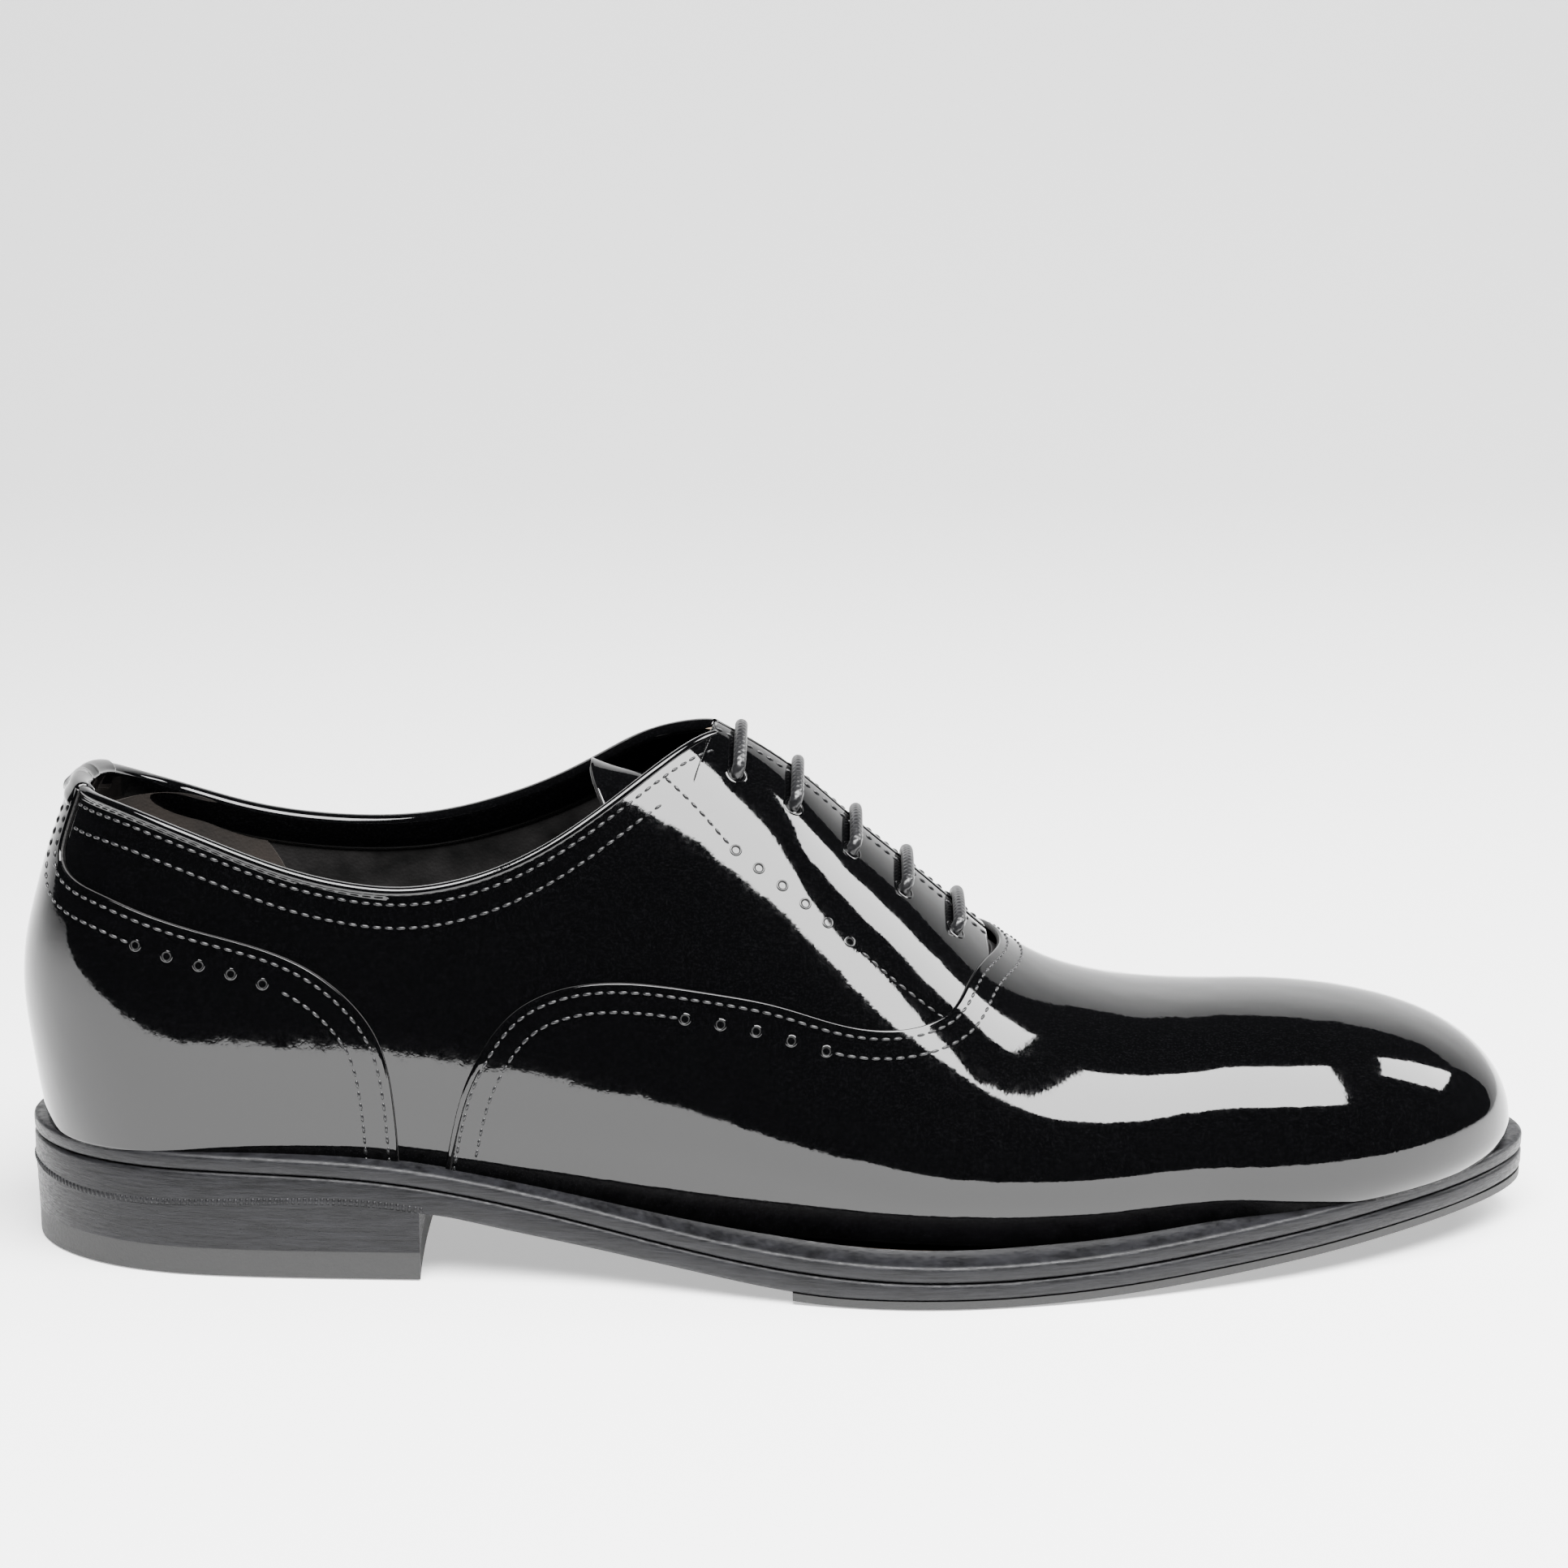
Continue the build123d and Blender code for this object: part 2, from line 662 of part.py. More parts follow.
with BuildPart() as lace_aglets:
    for end, inner in ((route[0], route[1]), (route[-1], route[-2])):
        inward = (inner - end).normalized()
        add(pin_along(end, inward, 0, AGLET_LENGTH, LACE_RADIUS + AGLET_WALL))
        add(pin_along(end, inward, 0, AGLET_LENGTH, LACE_RADIUS), mode=Mode.SUBTRACT)
write(lace_aglets, "lace_aglets")
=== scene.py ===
import math

import bpy
import numpy as np
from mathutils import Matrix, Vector


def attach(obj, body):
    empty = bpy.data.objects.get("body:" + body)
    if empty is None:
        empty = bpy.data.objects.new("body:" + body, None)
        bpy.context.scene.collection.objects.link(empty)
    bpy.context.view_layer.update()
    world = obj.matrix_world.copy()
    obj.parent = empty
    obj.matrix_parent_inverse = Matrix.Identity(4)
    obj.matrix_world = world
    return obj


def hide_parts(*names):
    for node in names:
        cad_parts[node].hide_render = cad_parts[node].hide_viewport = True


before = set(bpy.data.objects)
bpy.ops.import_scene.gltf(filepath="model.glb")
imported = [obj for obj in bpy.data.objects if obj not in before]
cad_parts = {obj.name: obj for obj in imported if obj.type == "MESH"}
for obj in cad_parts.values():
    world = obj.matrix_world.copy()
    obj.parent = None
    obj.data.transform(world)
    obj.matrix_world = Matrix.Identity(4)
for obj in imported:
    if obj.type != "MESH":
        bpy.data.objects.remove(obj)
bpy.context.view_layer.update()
MM = 0.001
rng = np.random.default_rng(7)

# ---------------------------------------------------------------- the last, in millimetres
HEEL_CENTRE_X = -115
TOE_CENTRE_X = 92
TOE_REACH = 57
HEEL_REACH = 37
HEEL_POWER = 2.3
HEEL_TURN = 50
TOE_TURN = 80
SIDE_RUN = TOE_CENTRE_X - HEEL_CENTRE_X
HALF_TURN = HEEL_TURN + SIDE_RUN + TOE_TURN
SOFTNESS = 0.13


def smooth_curve(knots, periodic=False):
    """Function through (x, value) knots, smooth in slope and bend."""
    x = np.array([k[0] for k in knots], float)
    v = np.array([k[1:] for k in knots], float)
    count = len(x)
    matrix = np.zeros((count, count))
    right = np.zeros_like(v)
    step = np.diff(x)
    rise = np.diff(v, axis=0) / step[:, None]
    for i in range(1, count - 1):
        matrix[i, i - 1 : i + 2] = step[i], 2 * (step[i - 1] + step[i]), step[i - 1]
        right[i] = 3 * (step[i] * rise[i - 1] + step[i - 1] * rise[i])
    if periodic:
        matrix[0, 0], matrix[0, -1] = 1, -1
        matrix[-1, 0] = 2 / step[0]
        matrix[-1, 1] = 1 / step[0]
        matrix[-1, -2] = 1 / step[-1]
        matrix[-1, -1] = 2 / step[-1]
        right[-1] = 3 * (rise[-1] / step[-1] + rise[0] / step[0])
    else:
        matrix[0, 0] = matrix[-1, -1] = 1
    slopes = np.linalg.solve(matrix, right)

    def at(q):
        q = np.clip(np.asarray(q, float), x[0], x[-1])
        i = np.clip(np.searchsorted(x, q, "right") - 1, 0, count - 2)
        h = step[i]
        t = ((q - x[i]) / h)[..., None]
        h = h[..., None]
        blend = t * t * (3 - 2 * t)
        value = v[i] * (1 - blend) + v[i + 1] * blend
        value = value + h * t * (1 - t) * (slopes[i] * (1 - t) - slopes[i + 1] * t)
        return value[..., 0] if v.shape[1] == 1 else value

    return at


ridge_z = smooth_curve([
    (-115, 120), (-90, 120), (-60, 117.5), (-35, 112.5), (-20, 107.5), (-8, 101), (3, 93.5), (15, 83),
    (26, 73.8), (36, 65.2), (45, 57.8), (53, 53), (62, 49.8), (75, 47.5), (92, 47),
])
ridge_y = smooth_curve([(-75, 0), (-20, 2), (20, 4), (60, 6), (92, 7.5), (120, 9.5), (149, 12)])
widest_z = smooth_curve([
    (-115, 48), (-75, 43), (-45, 37), (-15, 31), (10, 26), (40, 22), (70, 20.5), (92, 20),
])
lateral_width = smooth_curve(
    [
        (-115, 31.5), (-75, 31.5), (-45, 34), (-15, 40.5), (10, 46.5), (30, 49), (50, 47.5), (70, 43.5),
        (92, 39),
    ]
)
medial_width = smooth_curve(
    [(-115, 31), (-75, 30), (-45, 29), (-15, 30), (15, 34.5), (40, 38.5), (60, 40), (78, 39), (92, 36.5)]
)
roundness = smooth_curve([
    (-115, 2.4), (-75, 2.3), (-45, 2), (-15, 1.75), (20, 1.7), (45, 1.8), (70, 2.05), (92, 2.2),
])
heel_back_x = smooth_curve([
    (-20, -128), (0, -140), (15, -146), (25, -148.6), (40, -151), (55, -152.2), (63, -151.3),
    (72, -149), (81, -146.2), (93, -141.6), (105, -136), (123, -126),
])
welt_top_z = smooth_curve([
    (-156, 25), (-125, 25), (-100, 24.6), (-78, 23.2), (-54, 19.2), (-42, 16.8), (-13, 11.6), (6, 9.6),
    (26, 8.7),
    (54, 9), (71, 10), (89, 11.6), (106, 13.2), (125, 14.8), (140, 16), (158, 17.4),
])
sole_bottom_z = smooth_curve([
    (-156, 15.4), (-145, 14.3), (-132, 13.85), (-118, 14.3), (-100, 15.15), (-88, 15.3), (-78, 14.7),
    (-70, 13.6), (-54, 10.4), (-42, 8.3), (-13, 3.9), (4, 2), (14, 1.6), (27, 1.6), (40, 1.6),
    (54, 1.9), (71, 2.8), (89, 4.2), (106, 5.7), (125, 7.3), (140, 8.5),
    (158, 9.9),
])
WELT = 3.5
topline_z = {
    -1: smooth_curve([
        (-142, 94.8), (-138, 94.4), (-131, 93.4), (-120, 90.2), (-109.5, 86.1), (-95.5, 81), (-85, 78.5),
        (-74.5, 77.5), (-64, 78.7), (-53.4, 82), (-43.4, 87), (-29.4, 96.2), (-18.4, 102.6), (-13.5, 103.7),
    ]),
    1: smooth_curve([
        (-142, 94.8), (-138, 92.6), (-133, 89.4), (-125.5, 86), (-111, 81.3), (-95.7, 79), (-84.2, 78.7),
        (-72.8, 79.8), (-57.5, 84), (-48, 88), (-38.7, 93.2), (-28.8, 99.2), (-18, 103), (-13.5, 103.7),
    ]),
}
VAMP_EDGE = [
    (-66.5, 21), (-63.6, 34.3), (-59.5, 44.5), (-52.2, 54), (-38.1, 59.7), (-15, 58.8), (-1, 56.4),
    (13, 52.4),
    (24, 51.4), (32, 53), (37, 57.5),
]
THROAT_X = 43.5
FOXING_EDGE = [
    (89.5, 20), (88.2, 40), (83.7, 52.2), (72.8, 62.3), (53.5, 69.3), (40.5, 73.2), (31, 76.2), (22.5, 78.6),
    (18.2, 81.5), (17.2, 86), (18, 95),
]
FACING_GAP = 1.1
FACING_TOP_X = -13.5
FACING_END_X = 41
EYELET_X = [-9.2, 2, 13.6, 24, 34.4]
EYELET_OUT = 13.5


def soft_power(value, power):
    return (value * value + SOFTNESS**2) ** (power / 2) - SOFTNESS**power


def fullness(points):
    """How full the last is at points of shape (..., 3): below 1 is inside."""
    x, y, z = points[..., 0], points[..., 1], points[..., 2]
    middle = ridge_y(x)
    width = np.where(y < middle, lateral_width(x), medial_width(x))
    power = roundness(x)
    waist = widest_z(x)
    below = 2.3 * (waist - welt_top_z(x)) + 4
    height = np.where(z > waist, (z - waist) / (ridge_z(x) - waist), (waist - z) / below)
    toe = np.clip((x - TOE_CENTRE_X) / TOE_REACH, 0, None)
    heel = np.clip((HEEL_CENTRE_X - x) / (HEEL_CENTRE_X - heel_back_x(z)), 0, None)
    pinch = np.clip(1 - np.clip(heel, 0, 1) ** HEEL_POWER, 1e-9, 1) ** (1 / HEEL_POWER)
    side = (y - middle) / (width * pinch)
    full = soft_power(side, power) + soft_power(height, power) + toe**power
    return np.where(heel >= 1, 2.0, full)


def cast(origin, direction, reach=150.0):
    """Where rays from inside the last meet its surface."""
    low = np.zeros(origin.shape[:-1])
    high = np.full(origin.shape[:-1], reach)
    for _ in range(26):
        half = (low + high) / 2
        inside = fullness(origin + direction * half[..., None]) < 1
        low = np.where(inside, half, low)
        high = np.where(inside, high, half)
    return origin + direction * low[..., None]


def outward(points):
    """Unit vectors straight out of the last's surface."""
    step = 0.02
    slope = [fullness(points + step * axis) - fullness(points - step * axis) for axis in np.eye(3)]
    slope = np.stack(slope, -1)
    return slope / np.linalg.norm(slope, axis=-1, keepdims=True)


def pattern_cast(pattern):
    """Surface points for pattern coordinates: mm along the shoe, degrees from the ridge."""
    along, across = pattern[..., 0], pattern[..., 1]
    toe = np.clip(along - TOE_CENTRE_X, 0, None) * 90 / TOE_REACH
    heel = np.clip(along - HEEL_CENTRE_X, None, 0) * 90 / HEEL_REACH
    ahead = toe + heel
    angle = np.hypot(ahead, across)
    share = np.where(angle > 1e-9, 1 / np.maximum(angle, 1e-9), 0)
    turn = np.radians(angle)
    direction = np.stack([np.sin(turn) * ahead * share, np.sin(turn) * across * share, np.cos(turn)], -1)
    x = np.clip(along, HEEL_CENTRE_X, TOE_CENTRE_X)
    origin = np.stack([x, ridge_y(x), widest_z(x)], -1)
    return cast(origin, direction)


def pattern_of(points):
    """Pattern coordinates of surface points."""
    x = np.clip(points[..., 0], HEEL_CENTRE_X, TOE_CENTRE_X)
    origin = np.stack([x, ridge_y(x), widest_z(x)], -1)
    arm = points - origin
    flat = np.hypot(arm[..., 0], arm[..., 1])
    angle = np.degrees(np.arctan2(flat, arm[..., 2]))
    share = angle / np.maximum(flat, 1e-9)
    ahead = arm[..., 0] * share
    reach = np.where(ahead > 0, TOE_REACH, HEEL_REACH)
    return np.stack([x + ahead * reach / 90, arm[..., 1] * share], -1)


def settle(points):
    """Moves points along the pattern's rays onto the surface."""
    return pattern_cast(pattern_of(points))


def side_point(x, z, side):
    """Surface points at (x, z) on the lateral (-1) or medial (+1) side."""
    x, z = np.broadcast_arrays(np.asarray(x, float), np.asarray(z, float))
    origin = np.stack([x, ridge_y(x), z], -1)
    return cast(origin, np.broadcast_to(np.array([0.0, side, 0.0]), origin.shape))


def bearing(turn, side):
    """Start and level direction for a place along the shoe's wall.

    The turn runs from 0 at the back of the heel to HALF_TURN at the tip of the toe.
    """
    turn = np.asarray(turn, float)
    x = np.clip(turn - HEEL_TURN + HEEL_CENTRE_X, HEEL_CENTRE_X, TOE_CENTRE_X)
    heel = np.radians(90 * np.clip(1 - turn / HEEL_TURN, 0, 1))
    toe = np.radians(90 * np.clip((turn - HEEL_TURN - SIDE_RUN) / TOE_TURN, 0, 1))
    direction = np.stack([np.sin(toe) - np.sin(heel), side * np.cos(toe) * np.cos(heel), 0 * toe], -1)
    return x, direction / np.linalg.norm(direction, axis=-1, keepdims=True)


def wall(turn, z, side):
    """Surface points at a place along the wall and a height."""
    x, direction = bearing(turn, side)
    x, z = np.broadcast_arrays(x, np.asarray(z, float))
    origin = np.stack([x, ridge_y(x), z], -1)
    return cast(origin, np.broadcast_to(direction, origin.shape))


def wall_on(turn, height, side):
    """Wall points whose height follows a curve along the shoe."""
    z = height(bearing(turn, side)[0])
    for _ in range(8):
        points = wall(turn, z, side)
        z = 0.5 * z + 0.5 * height(points[..., 0])
    return wall(turn, z, side)


def ridge_point(x, off=0.0):
    """Surface point at x, a distance to the side of the ridge."""
    x, off = np.broadcast_arrays(np.asarray(x, float), np.asarray(off, float))
    low = np.array(widest_z(x), float)
    high = np.full(low.shape, 140.0)
    y = ridge_y(x) + off
    for _ in range(26):
        half = (low + high) / 2
        inside = fullness(np.stack([x, y, half], -1)) < 1
        low = np.where(inside, half, low)
        high = np.where(inside, high, half)
    return np.stack([x, y, low], -1)


# ---------------------------------------------------------------- lines on the surface
def lengths(points):
    return np.concatenate([[0], np.cumsum(np.linalg.norm(np.diff(points, axis=0), axis=1))])


def through(points, count):
    """Smooth line through points, as evenly spaced points."""
    points = np.asarray(points, float)
    knots = np.column_stack([lengths(points), points])
    curve = smooth_curve([tuple(k) for k in knots])
    dense = curve(np.linspace(0, knots[-1, 0], 12 * count))
    return evenly(dense, count)


def evenly(points, count):
    run = lengths(points)
    marks = np.linspace(0, run[-1], count)
    return np.stack([np.interp(marks, run, points[:, k]) for k in range(points.shape[1])], -1)


def row_beside(points, distance):
    """A row on the surface, a distance to the left of a line on it."""
    tangent = np.gradient(points, axis=0)
    tangent /= np.linalg.norm(tangent, axis=1, keepdims=True)
    across = np.cross(outward(points), tangent)
    return settle(points + across * distance)


def part_of(points, start, end):
    """The stretch of a line between two shares of its length."""
    run = lengths(points) / lengths(points)[-1]
    marks = np.linspace(start, end, len(points))
    return np.stack([np.interp(marks, run, points[:, k]) for k in range(3)], -1)


# ---------------------------------------------------------------- meshes
def add_mesh(name, vertices, faces, material, body="shoe", slots=None):
    """A smooth mesh object in metres that rides on a body."""
    mesh = bpy.data.meshes.new(name)
    mesh.from_pydata([tuple(v) for v in np.asarray(vertices) * MM], [], faces)
    mesh.update()
    mesh.validate()
    piece = bpy.data.objects.new(name, mesh)
    bpy.context.collection.objects.link(piece)
    materials = material if isinstance(material, (list, tuple)) else [material]
    for one in materials:
        mesh.materials.append(one)
    mesh.polygons.foreach_set("use_smooth", [True] * len(mesh.polygons))
    if slots is not None:
        mesh.polygons.foreach_set("material_index", slots)
    mesh.update()
    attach(piece, body)
    return piece


def grid_faces(rows, columns, first=0, closed=False, flip=False):
    faces = []
    for r in range(rows - 1):
        for c in range(columns if closed else columns - 1):
            n = (c + 1) % columns
            quad = (
                first + r * columns + c, first + r * columns + n, first + (r + 1) * columns + n,
                first + (r + 1) * columns + c,
            )
            faces.append(quad[::-1] if flip else quad)
    return faces


def rim_indices(rows, columns):
    """Grid indices once round its border."""
    top = list(range(columns))
    right = [r * columns + columns - 1 for r in range(1, rows)]
    bottom = [(rows - 1) * columns + c for c in range(columns - 2, -1, -1)]
    left = [r * columns for r in range(rows - 2, 0, -1)]
    return top + right + bottom + left


def sheet_shell(name, base, lift, thickness, materials, body="shoe", flip=False):
    """A leather sheet over a grid of surface points: outer face, inner face and rim."""
    rows, columns = base.shape[:2]
    out = outward(base)
    outer = base + out * lift[..., None]
    inner = base + out * (np.max(lift) - thickness)
    vertices = np.concatenate([outer.reshape(-1, 3), inner.reshape(-1, 3)])
    size = rows * columns
    faces = grid_faces(rows, columns, 0, flip=flip) + grid_faces(rows, columns, size, flip=not flip)
    slots = [0] * ((rows - 1) * (columns - 1)) + [1] * ((rows - 1) * (columns - 1))
    rim = rim_indices(rows, columns)
    for a, b in zip(rim, rim[1:] + rim[:1]):
        quad = (a, a + size, b + size, b)
        faces.append(quad[::-1] if flip else quad)
        slots.append(1)
    return add_mesh(name, vertices, faces, materials, body, slots)


def rounded(distance, top, radius=0.45):
    """Height of a sheet's outer face near its cut edge."""
    near = np.clip(1 - distance / radius, 0, 1)
    return top - radius * (1 - np.sqrt(1 - near * near))


# ---------------------------------------------------------------- materials
def new_material(name):
    material = bpy.data.materials.new(name)
    material.use_nodes = True
    tree = material.node_tree
    return material, tree, tree.nodes["Principled BSDF"]


def node(tree, kind, inputs=None, **settings):
    made = tree.nodes.new(kind)
    for key, value in settings.items():
        setattr(made, key, value)
    for key, value in (inputs or {}).items():
        made.inputs[key].default_value = value
    return made


def noise(tree, scale, detail=4.0, stretch=(1, 1, 1), roughness=0.5):
    """A noise texture over the object's own metres, stretched along an axis."""
    place = node(tree, "ShaderNodeTexCoord")
    mapping = node(tree, "ShaderNodeMapping", {"Scale": stretch})
    made = node(tree, "ShaderNodeTexNoise", {"Scale": scale, "Detail": detail, "Roughness": roughness})
    tree.links.new(place.outputs["Object"], mapping.inputs["Vector"])
    tree.links.new(mapping.outputs["Vector"], made.inputs["Vector"])
    return made


def ramp(tree, source, low, high, start=0.3, end=0.7):
    """Turns a 0 to 1 value into another range."""
    made = node(
        tree, "ShaderNodeMapRange", {"From Min": start, "From Max": end, "To Min": low, "To Max": high},
    )
    tree.links.new(source, made.inputs["Value"])
    return made.outputs["Result"]


def tint(tree, source, dark, light, start=0.3, end=0.7):
    """Blends two colours by a value."""
    made = node(tree, "ShaderNodeValToRGB")
    made.color_ramp.elements[0].position = start
    made.color_ramp.elements[0].color = (*dark, 1)
    made.color_ramp.elements[1].position = end
    made.color_ramp.elements[1].color = (*light, 1)
    tree.links.new(source, made.inputs["Fac"])
    return made.outputs["Color"]


def bump(tree, shader, source, height, strength=1.0, under=None):
    made = node(tree, "ShaderNodeBump", {"Strength": strength, "Distance": height})
    tree.links.new(source, made.inputs["Height"])
    if under is not None:
        tree.links.new(under.outputs["Normal"], made.inputs["Normal"])
    tree.links.new(made.outputs["Normal"], shader.inputs["Normal"])
    return made


def patent_leather():
    material, tree, shader = new_material("patent_leather")
    grain = noise(tree, 900, 3)
    wave = noise(tree, 55, 2)
    dust = noise(tree, 2600, 2)
    tree.links.new(
        tint(tree, dust.outputs["Fac"], (0.0006, 0.0006, 0.0007), (0.003, 0.003, 0.0034), 0.5, 0.78),
        shader.inputs["Base Color"],
    )
    tree.links.new(ramp(tree, grain.outputs["Fac"], 0.02, 0.07), shader.inputs["Roughness"])
    shader.inputs["IOR"].default_value = 1.5
    broad = bump(tree, shader, wave.outputs["Fac"], 0.0009, 0.22)
    bump(tree, shader, grain.outputs["Fac"], 0.00003, 0.25, broad)
    return material


def cut_edge():
    material, tree, shader = new_material("cut_leather_edge")
    fibres = noise(tree, 2400, 5)
    tree.links.new(
        tint(tree, fibres.outputs["Fac"], (0.006, 0.006, 0.0065), (0.035, 0.034, 0.033)),
        shader.inputs["Base Color"],
    )
    shader.inputs["Roughness"].default_value = 0.85
    bump(tree, shader, fibres.outputs["Fac"], 0.0002, 0.6)
    return material


def soft_leather(name, dark, light, rough):
    """Lining leather with pores and soft mottled patches."""
    material, tree, shader = new_material(name)
    patches = noise(tree, 120, 4)
    pores = node(tree, "ShaderNodeTexVoronoi", {"Scale": 1500.0})
    place = node(tree, "ShaderNodeTexCoord")
    tree.links.new(place.outputs["Object"], pores.inputs["Vector"])
    tree.links.new(tint(tree, patches.outputs["Fac"], dark, light), shader.inputs["Base Color"])
    tree.links.new(ramp(tree, patches.outputs["Fac"], rough - 0.08, rough + 0.1), shader.inputs["Roughness"])
    bump(tree, shader, pores.outputs["Distance"], 0.0001, 0.35)
    return material


def waxed_thread(name, scale):
    material, tree, shader = new_material(name)
    fibres = noise(tree, scale, 4)
    tree.links.new(
        tint(tree, fibres.outputs["Fac"], (0.0015, 0.0015, 0.002), (0.009, 0.009, 0.01)),
        shader.inputs["Base Color"],
    )
    shader.inputs["Roughness"].default_value = 0.3
    shader.inputs["Sheen Weight"].default_value = 0.05
    bump(tree, shader, fibres.outputs["Fac"], 0.00008, 0.5)
    return material


def edge_dressing(name, light, rough):
    """Inked and burnished leather edge with fine lines along it."""
    material, tree, shader = new_material(name)
    lines = noise(tree, 130, 6, (1, 1, 14), 0.65)
    scuffs = noise(tree, 700, 3, (1, 1, 5))
    tree.links.new(
        tint(tree, lines.outputs["Fac"], (0.003, 0.003, 0.0035), light, 0.35, 0.75),
        shader.inputs["Base Color"],
    )
    tree.links.new(ramp(tree, scuffs.outputs["Fac"], rough - 0.12, rough + 0.15), shader.inputs["Roughness"])
    shader.inputs["Specular IOR Level"].default_value = 0.22
    low = bump(tree, shader, lines.outputs["Fac"], 0.00025, 0.5)
    bump(tree, shader, scuffs.outputs["Fac"], 0.0001, 0.4, low)
    return material


def plain(name, dark, light, rough, scale=300, metal=0.0, height=0.0001):
    material, tree, shader = new_material(name)
    mottle = noise(tree, scale, 5)
    tree.links.new(tint(tree, mottle.outputs["Fac"], dark, light), shader.inputs["Base Color"])
    tree.links.new(ramp(tree, mottle.outputs["Fac"], rough - 0.08, rough + 0.08), shader.inputs["Roughness"])
    shader.inputs["Metallic"].default_value = metal
    bump(tree, shader, mottle.outputs["Fac"], height, 0.5)
    return material


PATENT = patent_leather()
CUT = cut_edge()
LINING_LEATHER = soft_leather("lining_leather", (0.003, 0.003, 0.003), (0.01, 0.009, 0.009), 0.5)
GRIP_SUEDE = soft_leather("grip_suede", (0.006, 0.0045, 0.0035), (0.018, 0.013, 0.01), 0.85)
SOCK_LEATHER = soft_leather("sock_leather", (0.005, 0.0045, 0.0045), (0.015, 0.013, 0.012), 0.55)
THREAD = waxed_thread("waxed_thread", 4000)
LACE_COTTON = waxed_thread("lace_cotton", 2500)
SOLE_EDGE = edge_dressing("sole_edge", (0.014, 0.014, 0.016), 0.4)
HEEL_EDGE = edge_dressing("heel_edge", (0.012, 0.012, 0.014), 0.38)
RUBBER = plain("tread_rubber", (0.005, 0.005, 0.005), (0.014, 0.014, 0.014), 0.6, 1800)
# Near-black matte cups and discs in punched holes: painted shade standing in for the shadow inside each
# hole.
HOLE_PAINTED_SHADE = plain("hole_painted_shade", (0.001, 0.001, 0.001), (0.003, 0.003, 0.003), 0.9, 2000)
BOARD = plain("insole_board", (0.28, 0.2, 0.13), (0.4, 0.31, 0.22), 0.85, 500)
CORK = plain("cork", (0.3, 0.18, 0.1), (0.5, 0.34, 0.2), 0.9, 350, 0, 0.0004)
STEEL = plain("spring_steel", (0.35, 0.35, 0.37), (0.55, 0.55, 0.57), 0.35, 400, 1.0)
BRASS = plain("brass", (0.5, 0.36, 0.14), (0.7, 0.52, 0.24), 0.35, 400, 1.0)
AGLET_PLASTIC = plain("aglet_plastic", (0.008, 0.008, 0.008), (0.02, 0.02, 0.02), 0.25, 900)
EYELET_ENAMEL = plain("eyelet_enamel", (0.01, 0.01, 0.01), (0.025, 0.025, 0.025), 0.35, 900)


def dress_cad_nodes():
    """Gives the CAD parts that stay their materials."""
    materials = {
        "heel_top_piece": RUBBER, "heel_lift_1": HEEL_EDGE, "heel_lift_2": HEEL_EDGE,
        "heel_lift_3": HEEL_EDGE,
        "heel_lift_4": HEEL_EDGE, "heel_nails": BRASS, "forepart_rubber_sole": RUBBER, "cork_filler": CORK,
        "shank": STEEL, "insole": BOARD, "sock_liner": SOCK_LEATHER, "toe_puff": BOARD,
        "heel_stiffener": BOARD,
        "facing_stay_lateral": BOARD, "facing_stay_medial": BOARD, "blind_eyelets_lateral": EYELET_ENAMEL,
        "blind_eyelets_medial": EYELET_ENAMEL,
    }
    for name, material in materials.items():
        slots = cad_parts[name].data.materials
        slots.clear()
        slots.append(material)


# ---------------------------------------------------------------- edges of the upper
def feather(turn, side, rise=-0.3):
    return wall_on(turn, lambda x: welt_top_z(x) + rise, side)


def arch_edge(count):
    """The vamp's rear edge, from the lateral welt over the throat to the medial welt."""
    x, z = np.array(VAMP_EDGE).T
    lateral = side_point(x, z, -1)
    medial = side_point(x, z, 1)
    line = np.concatenate([lateral, ridge_point([THROAT_X]), medial[::-1]])
    return settle(through(line, count))


def foxing_line(count, side, inset=0.0):
    """The foxing's front edge on one side, from the welt up to the collar."""
    turn, z = through(FOXING_EDGE, count).T
    line = wall(turn, z, side)
    if inset:
        line = row_beside(line, -side * inset)
    return line


def facing_line(count, side, gap=FACING_GAP, start=FACING_TOP_X, end=FACING_END_X):
    """A line along the facing at a distance from the ridge, downwards."""
    x = np.linspace(start, end, count)
    return ridge_point(x, side * gap)


def topline(count, side, start=0.0, end=None, drop=0.0):
    """The collar's edge on one side, from a place at the back to the facing's corner."""
    finish = HEEL_TURN + FACING_TOP_X - HEEL_CENTRE_X if end is None else end
    turn = np.linspace(start, finish, count)
    line = wall_on(turn, lambda x: topline_z[side](x) - drop, side)
    return evenly(line, count)


def collar_and_facing(count, side, start=12.0):
    """The quarter's upper edge: along the collar, round the corner and down the facing."""
    back = topline(count, side, start)
    last = back[-1]
    corner = ridge_point(
        [FACING_TOP_X], side * np.linspace(abs(last[1] - ridge_y(last[0])), FACING_GAP, 12)[1:],
    )
    line = np.concatenate([back, corner.reshape(-1, 3), facing_line(count, side)[1:]])
    return evenly(line, count)


# ---------------------------------------------------------------- panels
def ribs(first, last, shares=None, distances=None):
    """Grid of surface points on lines from one edge to another."""
    start, end = pattern_of(first), pattern_of(last)
    guide = np.linspace(0, 1, 40)[:, None, None]
    trial = pattern_cast(start + (end - start) * guide)
    steps = np.linalg.norm(np.diff(trial, axis=0), axis=2)
    run = np.concatenate([np.zeros((1, len(first))), np.cumsum(steps, axis=0)])
    grid = np.zeros((len(shares), len(first)))
    for c in range(len(first)):
        total = run[-1, c]
        marks = np.array([min(d, total) if d is not None else s * total for s, d in zip(shares, distances)])
        grid[:, c] = np.interp(np.maximum.accumulate(marks), run[:, c], guide[:, 0, 0])
    return pattern_cast(start + (end - start) * grid[..., None])


